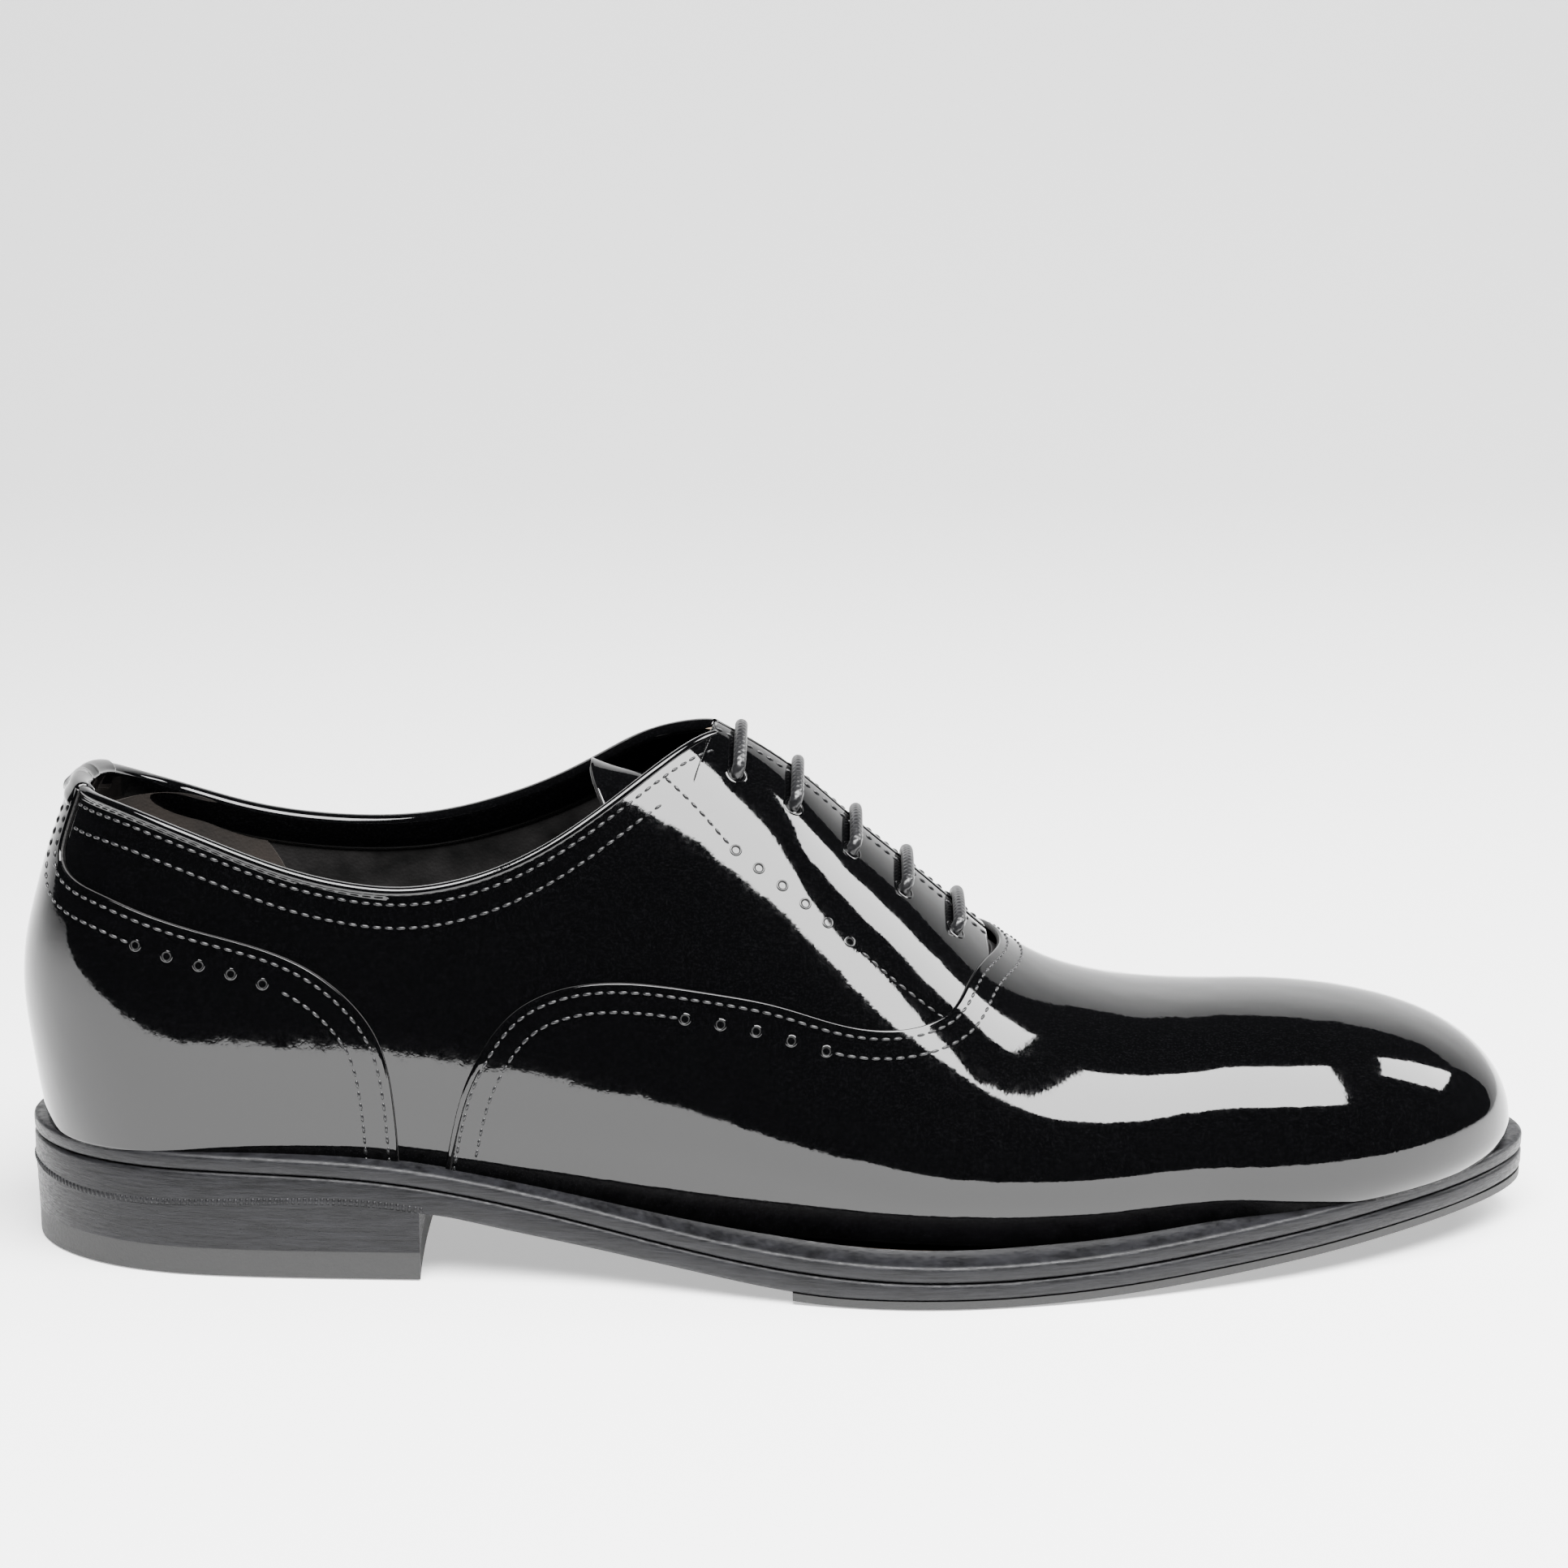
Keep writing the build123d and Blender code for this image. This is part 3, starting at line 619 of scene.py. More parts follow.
EDGE_ROWS = [0, 0.05, 0.12, 0.22, 0.34, 0.48, 0.8, 1.4]


def edge_then(count, start=0.03):
    """Shares and fixed distances of rows: close to the first edge, then even."""
    shares = list(np.linspace(0, 1, count))
    near = [s for s in shares if s > start]
    return [0.0] * len(EDGE_ROWS) + near, EDGE_ROWS + [None] * len(near)


VAMP_LIFT = 0.9
FOXING_LIFT = 0.9
DETAIL = 1.0


def make_vamp():
    columns = int(340 * DETAIL) // 2 * 2 + 1
    edge = arch_edge(columns)
    turn = np.linspace(HEEL_TURN - 66.5 - HEEL_CENTRE_X, HALF_TURN, columns * 2)
    around = np.concatenate([feather(turn, -1), feather(turn[::-1], 1)[1:]])
    lateral = evenly(around[: len(turn)], columns // 2 + 1)
    medial = evenly(around[len(turn) - 1 :], columns // 2 + 1)
    base = ribs(edge, np.concatenate([lateral, medial[1:]]), *edge_then(int(90 * DETAIL)))
    away = np.linalg.norm(base - base[:1], axis=2)
    piece = sheet_shell("vamp_leather", base, rounded(away, VAMP_LIFT), 1.3, [PATENT, CUT])
    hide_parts("vamp")
    inside = base[::2, ::2]
    lining = sheet_shell(
        "vamp_lining_leather", inside, np.full(inside.shape[:2], -2.05), 0.6,
        [LINING_LEATHER, LINING_LEATHER],
    )
    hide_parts("vamp_lining")
    return edge


def make_foxing():
    rows = int(90 * DETAIL)
    half = int(70 * DETAIL)
    turn, z = through(FOXING_EDGE, rows).T
    floor = welt_top_z(bearing(turn, -1)[0]) - 0.3
    rise = np.maximum(z - floor, 0)
    back_rise = np.linspace(0, 1, rows) * (94.8 - 24.7)
    near = np.array(EDGE_ROWS)
    from_edge = []
    for r in range(rows):
        from_edge.append(np.concatenate([near, np.linspace(near[-1], turn[r], half)[1:]]))
    from_edge = np.array(from_edge)
    place = turn[:, None] - from_edge
    share = place / turn[:, None]
    ease = share * share * (3 - 2 * share)
    level = rise[:, None] * ease + back_rise[:, None] * (1 - ease)
    sides = []
    for side in (-1, 1):
        height = level + welt_top_z(bearing(place, side)[0]) - 0.3
        for _ in range(3):
            ceiling = topline_z[side](wall(place, height, side)[..., 0]) - 0.3
            height = np.minimum(height, ceiling)
        sides.append(wall(place, height, side))
    base = np.concatenate([sides[0], sides[1][:, -2::-1]], axis=1)
    away = np.concatenate([from_edge, from_edge[:, -2::-1]], axis=1)
    piece = sheet_shell(
        "heel_foxing_leather", base, rounded(away, FOXING_LIFT), 1.3, [PATENT, CUT], flip=True,
    )
    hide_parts("heel_foxing")


UNDER_EDGE = [
    (12, 72), (30, 68), (50, 62), (70, 53), (79, 42), (84, 22.5), (104, 20), (112, 38), (118, 47),
    (130, 53), (150, 52.5),
    (165, 50), (178, 46), (191, 45), (202, 48), (207, 55),
]


def make_quarter(side, name):
    columns = int(300 * DETAIL)
    top = collar_and_facing(columns, side)
    turn, z = through(UNDER_EDGE, columns).T
    bottom = wall(turn, z, side)
    base = ribs(top, bottom, *edge_then(int(60 * DETAIL)))
    away = np.linalg.norm(base - base[:1], axis=2)
    lift = rounded(away, 0.0, 0.4)
    piece = sheet_shell(f"quarter_{name}_leather", base, lift, 1.25, [PATENT, CUT], flip=side > 0)
    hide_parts(f"quarter_{name}")


def make_quarter_lining(side, name):
    columns = int(180 * DETAIL)
    top = collar_and_facing(columns, side, 0.0)
    turn = np.linspace(0, HEEL_TURN + FACING_END_X - HEEL_CENTRE_X, columns)
    bottom = feather(turn, side, 1.0)
    base = ribs(top, bottom, *edge_then(int(40 * DETAIL)))
    lift = np.full(base.shape[:2], -1.75)
    piece = sheet_shell(
        f"quarter_lining_{name}_leather", base, lift, 0.7, [LINING_LEATHER, LINING_LEATHER],
        flip=side > 0,
    )
    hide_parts(f"quarter_lining_{name}")


def collar_path(count, reach=None):
    """The collar's edge from the lateral corner round the back to the medial corner."""
    lateral = topline(count, -1, 0.0, reach)
    medial = topline(count, 1, 0.0, reach)
    return np.concatenate([lateral[::-1], medial[1:]])


def eased(directions, reach=6):
    """Unit directions evened out along a line."""
    padded = np.pad(directions, ((reach, reach), (0, 0)), mode="edge")
    total = sum(padded[k : k + len(directions)] for k in range(2 * reach + 1))
    return total / np.linalg.norm(total, axis=1, keepdims=True)


def sweep_profile(name, path, profile, material, shrink=None, body="shoe"):
    """Sweeps a closed profile of (out, up) points along a line on the upper."""
    out = eased(outward(path))
    tangent = np.gradient(path, axis=0)
    tangent /= np.linalg.norm(tangent, axis=1, keepdims=True)
    up = np.cross(tangent, out)
    up *= np.sign(up[:, 2:3])
    up /= np.linalg.norm(up, axis=1, keepdims=True)
    profile = np.asarray(profile, float)
    scale = np.ones(len(path)) if shrink is None else shrink
    middle = profile.mean(0)
    rings = []
    for k in range(len(path)):
        shape = middle + (profile - middle) * scale[k]
        rings.append(path[k] + out[k] * shape[:, :1] + up[k] * shape[:, 1:])
    columns = len(profile)
    faces = grid_faces(len(path), columns, closed=True)
    faces.append(tuple(range(columns))[::-1])
    faces.append(tuple((len(path) - 1) * columns + k for k in range(columns)))
    return add_mesh(name, np.concatenate(rings), faces, material, body)


def rounded_profile(points, count):
    """Smooth closed profile through (out, up) points."""
    closed = np.array(points + points[:1], float)
    knots = np.column_stack([lengths(closed), closed])
    line = smooth_curve([tuple(k) for k in knots])(np.linspace(0, knots[-1, 0], 400))
    return evenly(line, count + 1)[:-1]


def make_binding():
    path = collar_path(int(300 * DETAIL))
    bead = rounded_profile(
        [
            (0.1, -1.0), (0.42, -0.45), (0.3, 0.25), (-0.5, 0.7), (-1.6, 0.65), (-2.6, 0.1), (-2.95, -1.2),
            (-3.0, -5.8), (-2.8, -6.4), (-2.5, -6.2), (-2.3, -3.0), (-1.4, -1.6),
        ],
        28,
    )
    piece = sweep_profile("topline_binding_bead", path, bead, PATENT)
    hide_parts("topline_binding")
    tab = rounded_profile(
        [
            (0.8, -4.6), (1.1, -4.2), (1.15, -1.6), (0.75, 0.3), (-0.4, 1.15), (-1.8, 1.1), (-3.2, 0.2),
            (-3.5, -2.0), (-3.4, -4.2), (-3.0, -4.4), (-2.8, -1.6), (-1.8, 0.3), (-0.6, 0.4), (0.4, -0.4),
            (0.6, -2.5),
        ],
        34,
    )
    short = collar_path(40, 17.0)
    fade = np.clip(np.minimum(np.arange(len(short)), np.arange(len(short))[::-1]) / 2.0, 0, 1)
    piece = sweep_profile("back_tab", short, tab, PATENT, 0.9 + 0.1 * fade)


# ---------------------------------------------------------------- stitches and perforations
STITCH_LENGTH = 1.75
STITCH_PITCH = 2.35
STITCH_RADIUS = 0.31
HOLE_RADIUS = 0.95
HOLE_LIP = 0.06


def along(points, pitch, start=0.0, keep=None):
    """Places at an even pitch along a line, as (point, direction)."""
    run = lengths(points)
    marks = np.arange(start, run[-1], pitch)
    place = np.stack([np.interp(marks, run, points[:, k]) for k in range(3)], -1)
    ahead = np.stack([np.interp(marks + 0.3, run, points[:, k]) for k in range(3)], -1)
    behind = np.stack([np.interp(marks - 0.3, run, points[:, k]) for k in range(3)], -1)
    direction = ahead - behind
    direction /= np.maximum(np.linalg.norm(direction, axis=1, keepdims=True), 1e-9)
    if keep is not None:
        chosen = keep(place)
        place, direction = place[chosen], direction[chosen]
    return place, direction


def stitch_mesh(rows):
    """One mesh of short domed threads: rows are (line, lift, keep)."""
    around, steps = 7, 7
    vertices, faces = [], []
    for line, lift, keep in rows:
        place, direction = along(line, STITCH_PITCH, 0.8, keep)
        out = outward(place)
        across = np.cross(out, direction)
        for k in range(len(place)):
            first = len(vertices)
            length = STITCH_LENGTH * rng.uniform(0.94, 1.04)
            lean = rng.uniform(-0.05, 0.05)
            for s in range(steps):
                t = s / (steps - 1)
                reach = (t - 0.5) * length
                bulge = math.sin(math.pi * t)
                radius = STITCH_RADIUS * (0.45 + 0.55 * bulge**0.5)
                middle = place[k] + direction[k] * reach + across[k] * reach * lean
                middle = middle + out[k] * (lift - 0.12 + 0.16 * bulge)
                for a in range(around):
                    angle = 2 * math.pi * a / around
                    spoke = across[k] * math.cos(angle) + out[k] * math.sin(angle)
                    vertices.append(middle + radius * spoke)
            faces += grid_faces(steps, around, first, closed=True)
            faces.append(tuple(first + a for a in range(around))[::-1])
            faces.append(tuple(first + (steps - 1) * around + a for a in range(around)))
    return vertices, faces


def perforation_mesh(rows):
    """Punched holes: a rolled lip and, in each, a dark cup of painted shade standing in for the shaded
    inside of the hole.
    """
    around = 20
    profile = [
        (1.28, -0.03), (1.16, 0.05), (1.04, 0.07), (0.95, 0.03), (0.88, -0.05), (0.6, -0.07),
        (0.0, -0.08),
    ]
    vertices, faces, slots = [], [], []
    for line, lift, keep, pitch in rows:
        place, direction = along(line, pitch, pitch / 2, keep)
        out = outward(place)
        across = np.cross(out, direction)
        for k in range(len(place)):
            first = len(vertices)
            for radius, height in profile[:-1]:
                for a in range(around):
                    angle = 2 * math.pi * a / around
                    spoke = direction[k] * math.cos(angle) + across[k] * math.sin(angle)
                    rim = spoke * radius * HOLE_RADIUS + out[k] * (lift + HOLE_LIP + height)
                    vertices.append(place[k] + rim)
            faces += grid_faces(len(profile) - 1, around, first, closed=True)
            slots += [0] * (3 * around) + [1] * ((len(profile) - 5) * around)
            last = first + (len(profile) - 2) * around
            faces.append(tuple(last + a for a in range(around)))
            slots.append(1)
    return vertices, faces, slots


def between_x(low, high):
    return lambda place: (place[:, 0] > low) & (place[:, 0] < high)


def outside_x(low, high):
    return lambda place: (place[:, 0] < low) | (place[:, 0] > high)


def only(*conditions):
    return lambda place: np.logical_and.reduce([condition(place) for condition in conditions])


def under_collar(side, margin=2.2):
    return lambda place: place[:, 2] < topline_z[side](place[:, 0]) - margin


ROW_ONE = 1.8
VAMP_ROW_TWO = 5.6
FOXING_ROW_TWO = 6.3
TOPLINE_ROW_TWO = 6.3
FACING_ROW = 3.2
VAMP_HOLES = (-21, 10)
VAMP_HOLE_PITCH = 7.0
FOXING_HOLES = (-127, -98)
FOXING_HOLE_PITCH = 6.4
FACING_HOLES = (-10.5, 15)
FACING_HOLE_PITCH = 5.7
COLLAR_TURN_X = -23
FACING_ROW_TWO = [
    (-23, 97.3), (-16, 91), (-10.5, 85.3), (-1.7, 78.7), (7.5, 71.6), (16.6, 64), (25, 57.2),
    (33.5, 50.9),
]


def stitch_rows(edge):
    """Every stitch row and hole row of the upper."""
    stitches, holes = [], []
    vamp_one = row_beside(edge, -ROW_ONE)
    vamp_two = row_beside(part_of(edge, 0.015, 0.985), -VAMP_ROW_TWO)
    vamp_two = evenly(vamp_two, 400)
    stitches.append((vamp_one, VAMP_LIFT, None))
    stitches.append((vamp_two, VAMP_LIFT, outside_x(*VAMP_HOLES)))
    holes.append((vamp_two, VAMP_LIFT, between_x(*VAMP_HOLES), VAMP_HOLE_PITCH))
    for side in (-1, 1):
        fox_one = evenly(foxing_line(240, side, ROW_ONE), 240)
        fox_two = evenly(foxing_line(240, side, FOXING_ROW_TWO), 240)
        stitches.append((fox_one, FOXING_LIFT, under_collar(side)))
        stitches.append((fox_two, FOXING_LIFT, only(outside_x(*FOXING_HOLES), under_collar(side))))
        holes.append((fox_two, FOXING_LIFT, between_x(*FOXING_HOLES), FOXING_HOLE_PITCH))
        top_one = topline(260, side, 19.0, None, ROW_ONE + 0.9)
        top_two = topline(260, side, 20.0, HEEL_TURN + COLLAR_TURN_X - HEEL_CENTRE_X, TOPLINE_ROW_TWO + 0.9)
        stitches.append((top_one, 0.0, None))
        stitches.append((top_two, 0.0, None))
        x, z = np.array(FACING_ROW_TWO).T
        facing_two = settle(through(side_point(x, z, side), 160))
        stitches.append((facing_two, 0.0, outside_x(*FACING_HOLES)))
        holes.append((facing_two, 0.0, between_x(*FACING_HOLES), FACING_HOLE_PITCH))
        stitches.append((facing_line(160, side, FACING_ROW + FACING_GAP), 0.0, between_x(-60, 40.5)))
    return stitches, holes


def make_stitching(edge):
    stitches, holes = stitch_rows(edge)
    vertices, faces = stitch_mesh(stitches)
    add_mesh("upper_stitching", vertices, faces, THREAD)
    vertices, faces, slots = perforation_mesh(holes)
    # The dark cups in the perforations are painted shade for the holes' shaded insides.
    add_mesh("perforations", vertices, faces, [PATENT, HOLE_PAINTED_SHADE], slots=slots)


# ---------------------------------------------------------------- sole
LATERAL_SIDE = [
    (-146.5, -16.5), (-130, -28.5), (-105, -33.5), (-72, -35), (-45, -37), (-15, -43.5), (8, -49), (28, -51),
    (50, -48.5), (71, -43.5), (88, -38), (106, -31), (125, -20.5), (140, -9.5),
]
MEDIAL_SIDE = [
    (149, 24), (139, 34), (124, 41.5), (105, 47), (85, 50.3), (62, 51), (40, 48), (15, 40.5), (-15, 32.5),
    (-45, 29), (-75, 30), (-105, 32.5), (-130, 28.5), (-146.5, 16.5),
]


HEEL_BREAST_X = -70
ROUNDING_RUN = 5
SQUARE_INSET = 0.05


def sole_outline(count):
    """The outsole's outline seen from above, with its outward directions."""
    points = np.array([(-153, 0)] + LATERAL_SIDE + [(153, 10)] + MEDIAL_SIDE + [(-153, 0)], float)
    knots = np.column_stack([lengths(points), points])
    curve = smooth_curve([tuple(k) for k in knots], periodic=True)
    line = evenly(curve(np.linspace(0, knots[-1, 0], 8 * count)), count + 1)[:-1]
    ahead = np.roll(line, -1, 0) - np.roll(line, 1, 0)
    out = np.stack([ahead[:, 1], -ahead[:, 0]], -1)
    return line, out / np.linalg.norm(out, axis=1, keepdims=True)


def square_at_heel(inset, x):
    """The sole's lower edge is rounded ahead of the heel and square where the heel meets it."""
    ahead = np.clip((x - HEEL_BREAST_X) / ROUNDING_RUN, 0, 1)
    return SQUARE_INSET + (inset - SQUARE_INSET) * ahead


def edge_band(name, profile, material, node_name, count=700, cap=False):
    """A band swept round the outline: the profile is (inset, height curve, rise).

    It is closed by strips across the sole with cap, and by joining its first and last rows without.
    """
    line, out = sole_outline(count)
    rings = []
    for inset, height, rise in profile:
        if height is sole_bottom_z:
            inset = square_at_heel(inset, line[:, :1])
        place = line - out * inset
        rings.append(np.column_stack([place, height(place[:, 0]) + rise]))
    vertices = np.concatenate(rings)
    faces = grid_faces(len(rings), count, closed=True, flip=True)
    last = (len(rings) - 1) * count
    if cap:
        for k in range(count // 2):
            across = (last + k, last + k + 1, last + (count - k - 1) % count, last + (count - k) % count)
            faces.append(tuple(dict.fromkeys(across)))
    else:
        for k in range(count):
            after = (k + 1) % count
            faces.append((k, last + k, last + after, after))
    piece = add_mesh(name, vertices, faces, material)
    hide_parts(node_name)
    return piece


def welt_bottom_z(x):
    return welt_top_z(x) - WELT


WHEEL_PITCH = 1.15
WHEEL_WIDTH = 0.62
WHEEL_HEIGHT = 1.3
WHEEL_RELIEF = 0.22


def make_wheel_marks():
    """The row of small upright ribs pressed into the sole's edge above the heel."""
    line, out = sole_outline(3000)
    ahead = np.stack([-out[:, 1], out[:, 0]], -1)
    step = np.linalg.norm(line[1] - line[0])
    vertices, faces = [], []
    for k in range(0, len(line), max(1, round(WHEEL_PITCH / step))):
        if line[k, 0] > HEEL_BREAST_X:
            continue
        first = len(vertices)
        bottom = float(sole_bottom_z(line[k, 0]))
        for share, relief in ((-0.5, -0.1), (-0.3, 0.7), (0, 1.0), (0.3, 0.7), (0.5, -0.1)):
            for rise, depth in ((0.05, -0.3), (0.2, 1.0), (0.85, 1.0), (1.0, -0.3)):
                place = line[k] + ahead[k] * share * WHEEL_WIDTH
                place = place + out[k] * WHEEL_RELIEF * min(relief, depth)
                vertices.append((place[0], place[1], bottom + rise * WHEEL_HEIGHT))
        faces += grid_faces(5, 4, first, flip=True)
    piece = add_mesh("heel_wheel_marks", vertices, faces, SOLE_EDGE)


def make_sole():
    welt = [
        (9.5, welt_top_z, 0.0), (1.5, welt_top_z, 0.0), (0.9, welt_top_z, -0.03),
        (0.4, welt_top_z, -0.2), (0.1, welt_top_z, -0.55),
        (0.02, welt_top_z, -1.0), (0.05, welt_top_z, -1.9), (0.1, welt_bottom_z, 0.75),
        (0.35, welt_bottom_z, 0.3),
        (0.75, welt_bottom_z, 0.12), (1.1, welt_bottom_z, 0.02), (9.5, welt_bottom_z, 0.0),
    ]
    edge_band("welt_band", welt, SOLE_EDGE, "welt")
    outsole = [
        (10, welt_bottom_z, -0.02), (1.1, welt_bottom_z, -0.02), (0.5, welt_bottom_z, -0.12),
        (0.2, welt_bottom_z, -0.4),
        (0.05, welt_bottom_z, -0.9), (0.1, sole_bottom_z, 1.0), (0.3, sole_bottom_z, 0.4),
        (0.7, sole_bottom_z, 0.1),
        (1.3, sole_bottom_z, 0.02),
    ]
    edge_band("outsole_leather", outsole, SOLE_EDGE, "outsole", cap=True)
    make_wheel_marks()


# ---------------------------------------------------------------- tongue
HINGE_X = 45
TONGUE_DEPTH = 5.9
TONGUE_DROP = 7.0


def lowered(points):
    """Turns points down about the throat seam."""
    angle = math.radians(-TONGUE_DROP)
    centre = np.array([HINGE_X, 0, ridge_z(HINGE_X) - 7.0])
    arm = points - centre
    x = arm[..., 0] * math.cos(angle) + arm[..., 2] * math.sin(angle)
    z = -arm[..., 0] * math.sin(angle) + arm[..., 2] * math.cos(angle)
    return np.stack([x, arm[..., 1], z], -1) + centre


def make_tongue():
    rows, columns = int(110 * DETAIL), int(70 * DETAIL)
    v = np.linspace(0, 1, rows)[:, None]
    u = np.linspace(-1, 1, columns)[None, :]
    x = 44 + (-31 - 44) * v + 4.0 * (u * u) ** 1.5 * v**6
    half = 11 + 10 * v - 1.6 * np.clip((v - 0.93) / 0.07, 0, 1) ** 2
    base = ridge_point(x, u * half)
    out = outward(base)
    curl = 1.1 * np.clip((v - 0.9) / 0.1, 0, 1) ** 2
    for name, depth, thickness, material, node_name, slot_name, grow in (
        ("tongue_leather", TONGUE_DEPTH, 1.1, [PATENT, CUT], "tongue", "patent_leather", 1.0),
        (
            "tongue_lining_leather", TONGUE_DEPTH + 1.12, 0.7, [LINING_LEATHER, LINING_LEATHER],
            "tongue_lining", "lining_leather", 1.02,
        ),
    ):
        outer = lowered(base - out * (depth - curl)[..., None])
        inner = lowered(base - out * (depth - curl + thickness)[..., None])
        size = rows * columns
        faces = grid_faces(rows, columns) + grid_faces(rows, columns, size, flip=True)
        slots = [0] * ((rows - 1) * (columns - 1)) + [1] * ((rows - 1) * (columns - 1))
        rim = rim_indices(rows, columns)
        for a, b in zip(rim, rim[1:] + rim[:1]):
            faces.append((a, a + size, b + size, b))
            slots.append(1)
        vertices = np.concatenate([outer.reshape(-1, 3), inner.reshape(-1, 3)])
        piece = add_mesh(name, vertices, faces, material, "tongue", slots)
        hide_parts(node_name)


# ---------------------------------------------------------------- lace
LACE_RADIUS = 1.3
LACE_OVER = 1.5
LACE_UNDER = 3.95
LACE_BENDS = (12.6, 9.5, 6, 3, 0, -3, -6, -9.5, -12.6)


def lace_point(x, off, out):
    point = ridge_point(np.array([float(x)]), off)
    return (point + outward(point) * out)[0]


def lace_route():
    """The lace from one tucked end to the other, bar by bar down the facings."""
    route = [
        lace_point(34, -21.5, -LACE_UNDER), lace_point(16, -21, -LACE_UNDER),
        lace_point(-2, -20, -LACE_UNDER),
    ]
    side = -1
    for x in EYELET_X:
        route.append(lace_point(x, side * (EYELET_OUT + 0.3), -LACE_UNDER))
        route.append(lace_point(x, side * EYELET_OUT, 0.0))
        route += [lace_point(x, side * off, LACE_OVER) for off in LACE_BENDS]
        side = -side
        route.append(lace_point(x, side * EYELET_OUT, 0.0))
        route.append(lace_point(x, side * (EYELET_OUT + 0.3), -LACE_UNDER))
    route += [
        lace_point(26, 20, -LACE_UNDER), lace_point(8, 20.5, -LACE_UNDER),
        lace_point(-10, 21, -LACE_UNDER),
    ]
    return np.array(route)


def centre_line(points, name):
    """Points along a smooth line guided by the route."""
    curve = bpy.data.curves.new(name, "CURVE")
    curve.dimensions = "3D"
    curve.resolution_u = 14
    spline = curve.splines.new("NURBS")
    spline.points.add(len(points) - 1)
    for place, point in zip(spline.points, points):
        place.co = (*[float(c) for c in point], 1)
    spline.order_u = 3
    spline.use_endpoint_u = True
    holder = bpy.data.objects.new(name, curve)
    bpy.context.collection.objects.link(holder)
    mesh = bpy.data.meshes.new_from_object(holder)
    line = np.array([v.co for v in mesh.vertices])
    bpy.data.objects.remove(holder)
    bpy.data.curves.remove(curve)
    bpy.data.meshes.remove(mesh)
    return line


def braided_tube(name, line, radius, material, around=24, step=0.22, strands=8, relief=0.06):
    """A round braided cord: the surface rises and falls along crossing spirals."""
    count = max(8, int(lengths(line)[-1] / (step / DETAIL)))
    line = evenly(line, count)
    tangent = np.gradient(line, axis=0)
    tangent /= np.linalg.norm(tangent, axis=1, keepdims=True)
    normal = np.array([0.0, 0.0, 1.0])
    vertices = []
    run = lengths(line)
    for k in range(count):
        normal = normal - tangent[k] * np.dot(normal, tangent[k])
        normal /= np.linalg.norm(normal)
        across = np.cross(tangent[k], normal)
        for a in range(around):
            angle = 2 * math.pi * a / around
            twist = run[k] * 2 * math.pi / 5.5
            weave = max(math.sin(strands / 2 * (angle + twist)), math.sin(strands / 2 * (angle - twist)))
            size = radius * (1 - relief + relief * weave)
            vertices.append(line[k] + size * (normal * math.cos(angle) + across * math.sin(angle)))
    faces = grid_faces(count, around, closed=True)
    faces.append(tuple(range(around))[::-1])
    faces.append(tuple((count - 1) * around + a for a in range(around)))
    return add_mesh(name, vertices, faces, material)


def make_lace():
    line = centre_line(lace_route(), "lace_line")
    piece = braided_tube("waxed_lace", line, LACE_RADIUS, LACE_COTTON)
    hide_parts("lace")
    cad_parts["lace_aglets"].data.materials.clear()
    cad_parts["lace_aglets"].data.materials.append(AGLET_PLASTIC)


def make_eyelet_holes():
    """The punched holes in the facings that the lace passes through: a rolled lip and a dark disc of painted
    shade for each hole's shaded inside.
    """
    around = 26
    profile = [(2.35, -0.04), (2.15, 0.05), (1.95, 0.07), (1.8, 0.0), (1.72, -0.1), (0.0, -0.12)]
    vertices, faces, slots = [], [], []
    for side in (-1, 1):
        for x in EYELET_X:
            place = ridge_point(np.array([float(x)]), side * EYELET_OUT)
            out = outward(place)[0]
            first_axis = np.cross(out, [0.0, 1.0, 0.0])
            first_axis /= np.linalg.norm(first_axis)
            second_axis = np.cross(out, first_axis)
            first = len(vertices)
            for radius, height in profile[:-1]:
                for a in range(around):
                    angle = 2 * math.pi * a / around
                    spoke = first_axis * math.cos(angle) + second_axis * math.sin(angle)
                    vertices.append(place[0] + spoke * radius + out * (height + 0.04))
            faces += grid_faces(len(profile) - 1, around, first, closed=True)
            slots += [0] * (3 * around) + [1] * around
            last = first + (len(profile) - 2) * around
            faces.append(tuple(last + a for a in range(around)))
            slots.append(1)
    # The inner discs carry painted shade for the shaded insides of the eyelet holes.
    add_mesh("eyelet_holes", vertices, faces, [PATENT, HOLE_PAINTED_SHADE], slots=slots)


# ---------------------------------------------------------------- stage
SWEEP_FRONT = -0.19
SWEEP_BACK = 1.7
SWEEP_HALF_WIDTH = 2.6
SWEEP_HEIGHT = 1.6
SWEEP_RADIUS = 0.7


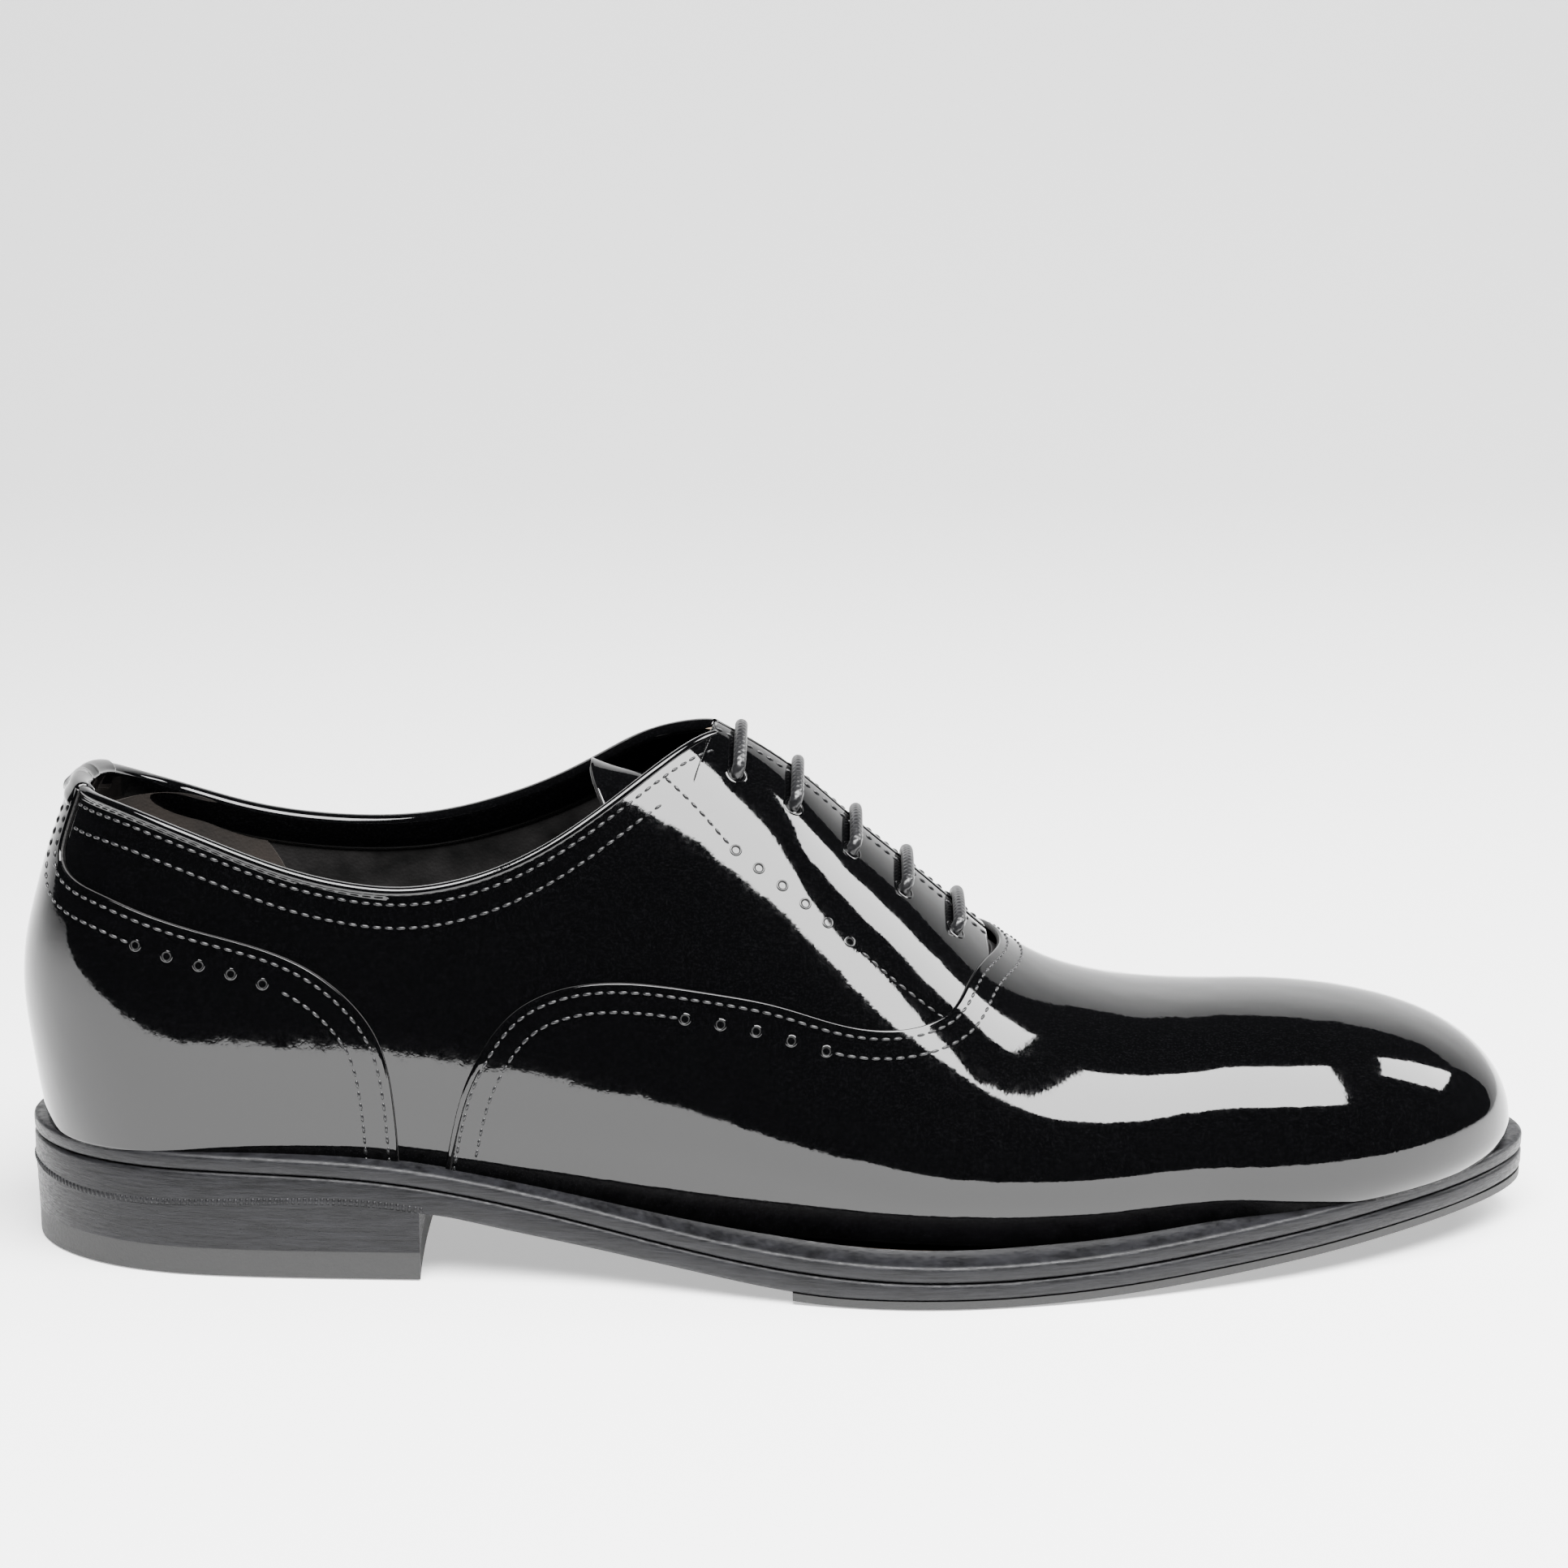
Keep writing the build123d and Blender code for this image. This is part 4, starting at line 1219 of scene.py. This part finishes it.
def make_stage():
    """A white paper sweep: floor, cove and back wall in one sheet."""
    profile = [(SWEEP_FRONT, 0.0), (SWEEP_BACK - SWEEP_RADIUS, 0.0)]
    for k in range(1, 25):
        angle = math.pi / 2 * k / 24
        out, up = SWEEP_RADIUS * math.sin(angle), SWEEP_RADIUS * (1 - math.cos(angle))
        profile.append((SWEEP_BACK - SWEEP_RADIUS + out, up))
    profile.append((SWEEP_BACK, SWEEP_HEIGHT))
    vertices = [(x, y, z - 0.0003) for y, z in profile for x in (-SWEEP_HALF_WIDTH, SWEEP_HALF_WIDTH)]
    mesh = bpy.data.meshes.new("paper_sweep")
    mesh.from_pydata(vertices, [], grid_faces(len(profile), 2))
    mesh.polygons.foreach_set("use_smooth", [True] * len(mesh.polygons))
    sweep = bpy.data.objects.new("paper_sweep", mesh)
    bpy.context.collection.objects.link(sweep)
    material, _, shader = new_material("white_paper")
    shader.inputs["Base Color"].default_value = (0.9, 0.9, 0.9, 1)
    shader.inputs["Roughness"].default_value = 0.9
    shader.inputs["Specular IOR Level"].default_value = 0.1
    shader.inputs["Emission Color"].default_value = (1, 1, 1, 1)
    shader.inputs["Emission Strength"].default_value = 0.65
    mesh.materials.append(material)
    world = bpy.data.worlds.new("studio")
    bpy.context.scene.world = world
    world.use_nodes = True
    world.node_tree.nodes["Background"].inputs["Color"].default_value = (0.9, 0.95, 1, 1)
    world.node_tree.nodes["Background"].inputs["Strength"].default_value = 0.05


def add_softbox(name, place, target, width, height, power):
    light = bpy.data.lights.new(name, "AREA")
    light.shape = "RECTANGLE"
    light.size, light.size_y = width, height
    light.energy = power
    holder = bpy.data.objects.new(name, light)
    bpy.context.collection.objects.link(holder)
    holder.location = place
    holder.rotation_euler = (Vector(target) - Vector(place)).to_track_quat("-Z", "Y").to_euler()


def make_lights():
    add_softbox("overhead_box", (0.14, -0.4, 1.0), (0.02, 0, 0.05), 1.1, 0.72, 78)
    add_softbox("toe_box", (0.95, 0.25, 0.8), (0.02, 0, 0.07), 0.35, 0.5, 14)


# ---------------------------------------------------------------- camera
CAMERA_TARGET = (0.0001, 0, 0.0922)
CAMERA_DISTANCE = 0.739
CAMERA_ELEVATION = 13.0
CAMERA_AZIMUTH = 0.3
CAMERA_LENS = 84.7


def make_camera():
    camera = bpy.data.cameras.new("camera")
    camera.lens = CAMERA_LENS
    camera.sensor_width = 36
    holder = bpy.data.objects.new("camera", camera)
    bpy.context.collection.objects.link(holder)
    azimuth, elevation = math.radians(CAMERA_AZIMUTH), math.radians(CAMERA_ELEVATION)
    level = math.cos(elevation)
    back = Vector((math.sin(azimuth) * level, -math.cos(azimuth) * level, math.sin(elevation)))
    target = Vector(CAMERA_TARGET)
    holder.location = target + back * CAMERA_DISTANCE
    holder.rotation_euler = (-back).to_track_quat("-Z", "Y").to_euler()
    bpy.context.scene.camera = holder


make_camera()
make_stage()
make_lights()
dress_cad_nodes()
make_sole()
vamp_edge = make_vamp()
make_foxing()
for which, label in ((-1, "lateral"), (1, "medial")):
    make_quarter(which, label)
    make_quarter_lining(which, label)
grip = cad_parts["heel_grip"]
grip.data.materials.clear()
grip.data.materials.append(GRIP_SUEDE)
make_binding()
make_stitching(vamp_edge)
make_tongue()
make_lace()
make_eyelet_holes()
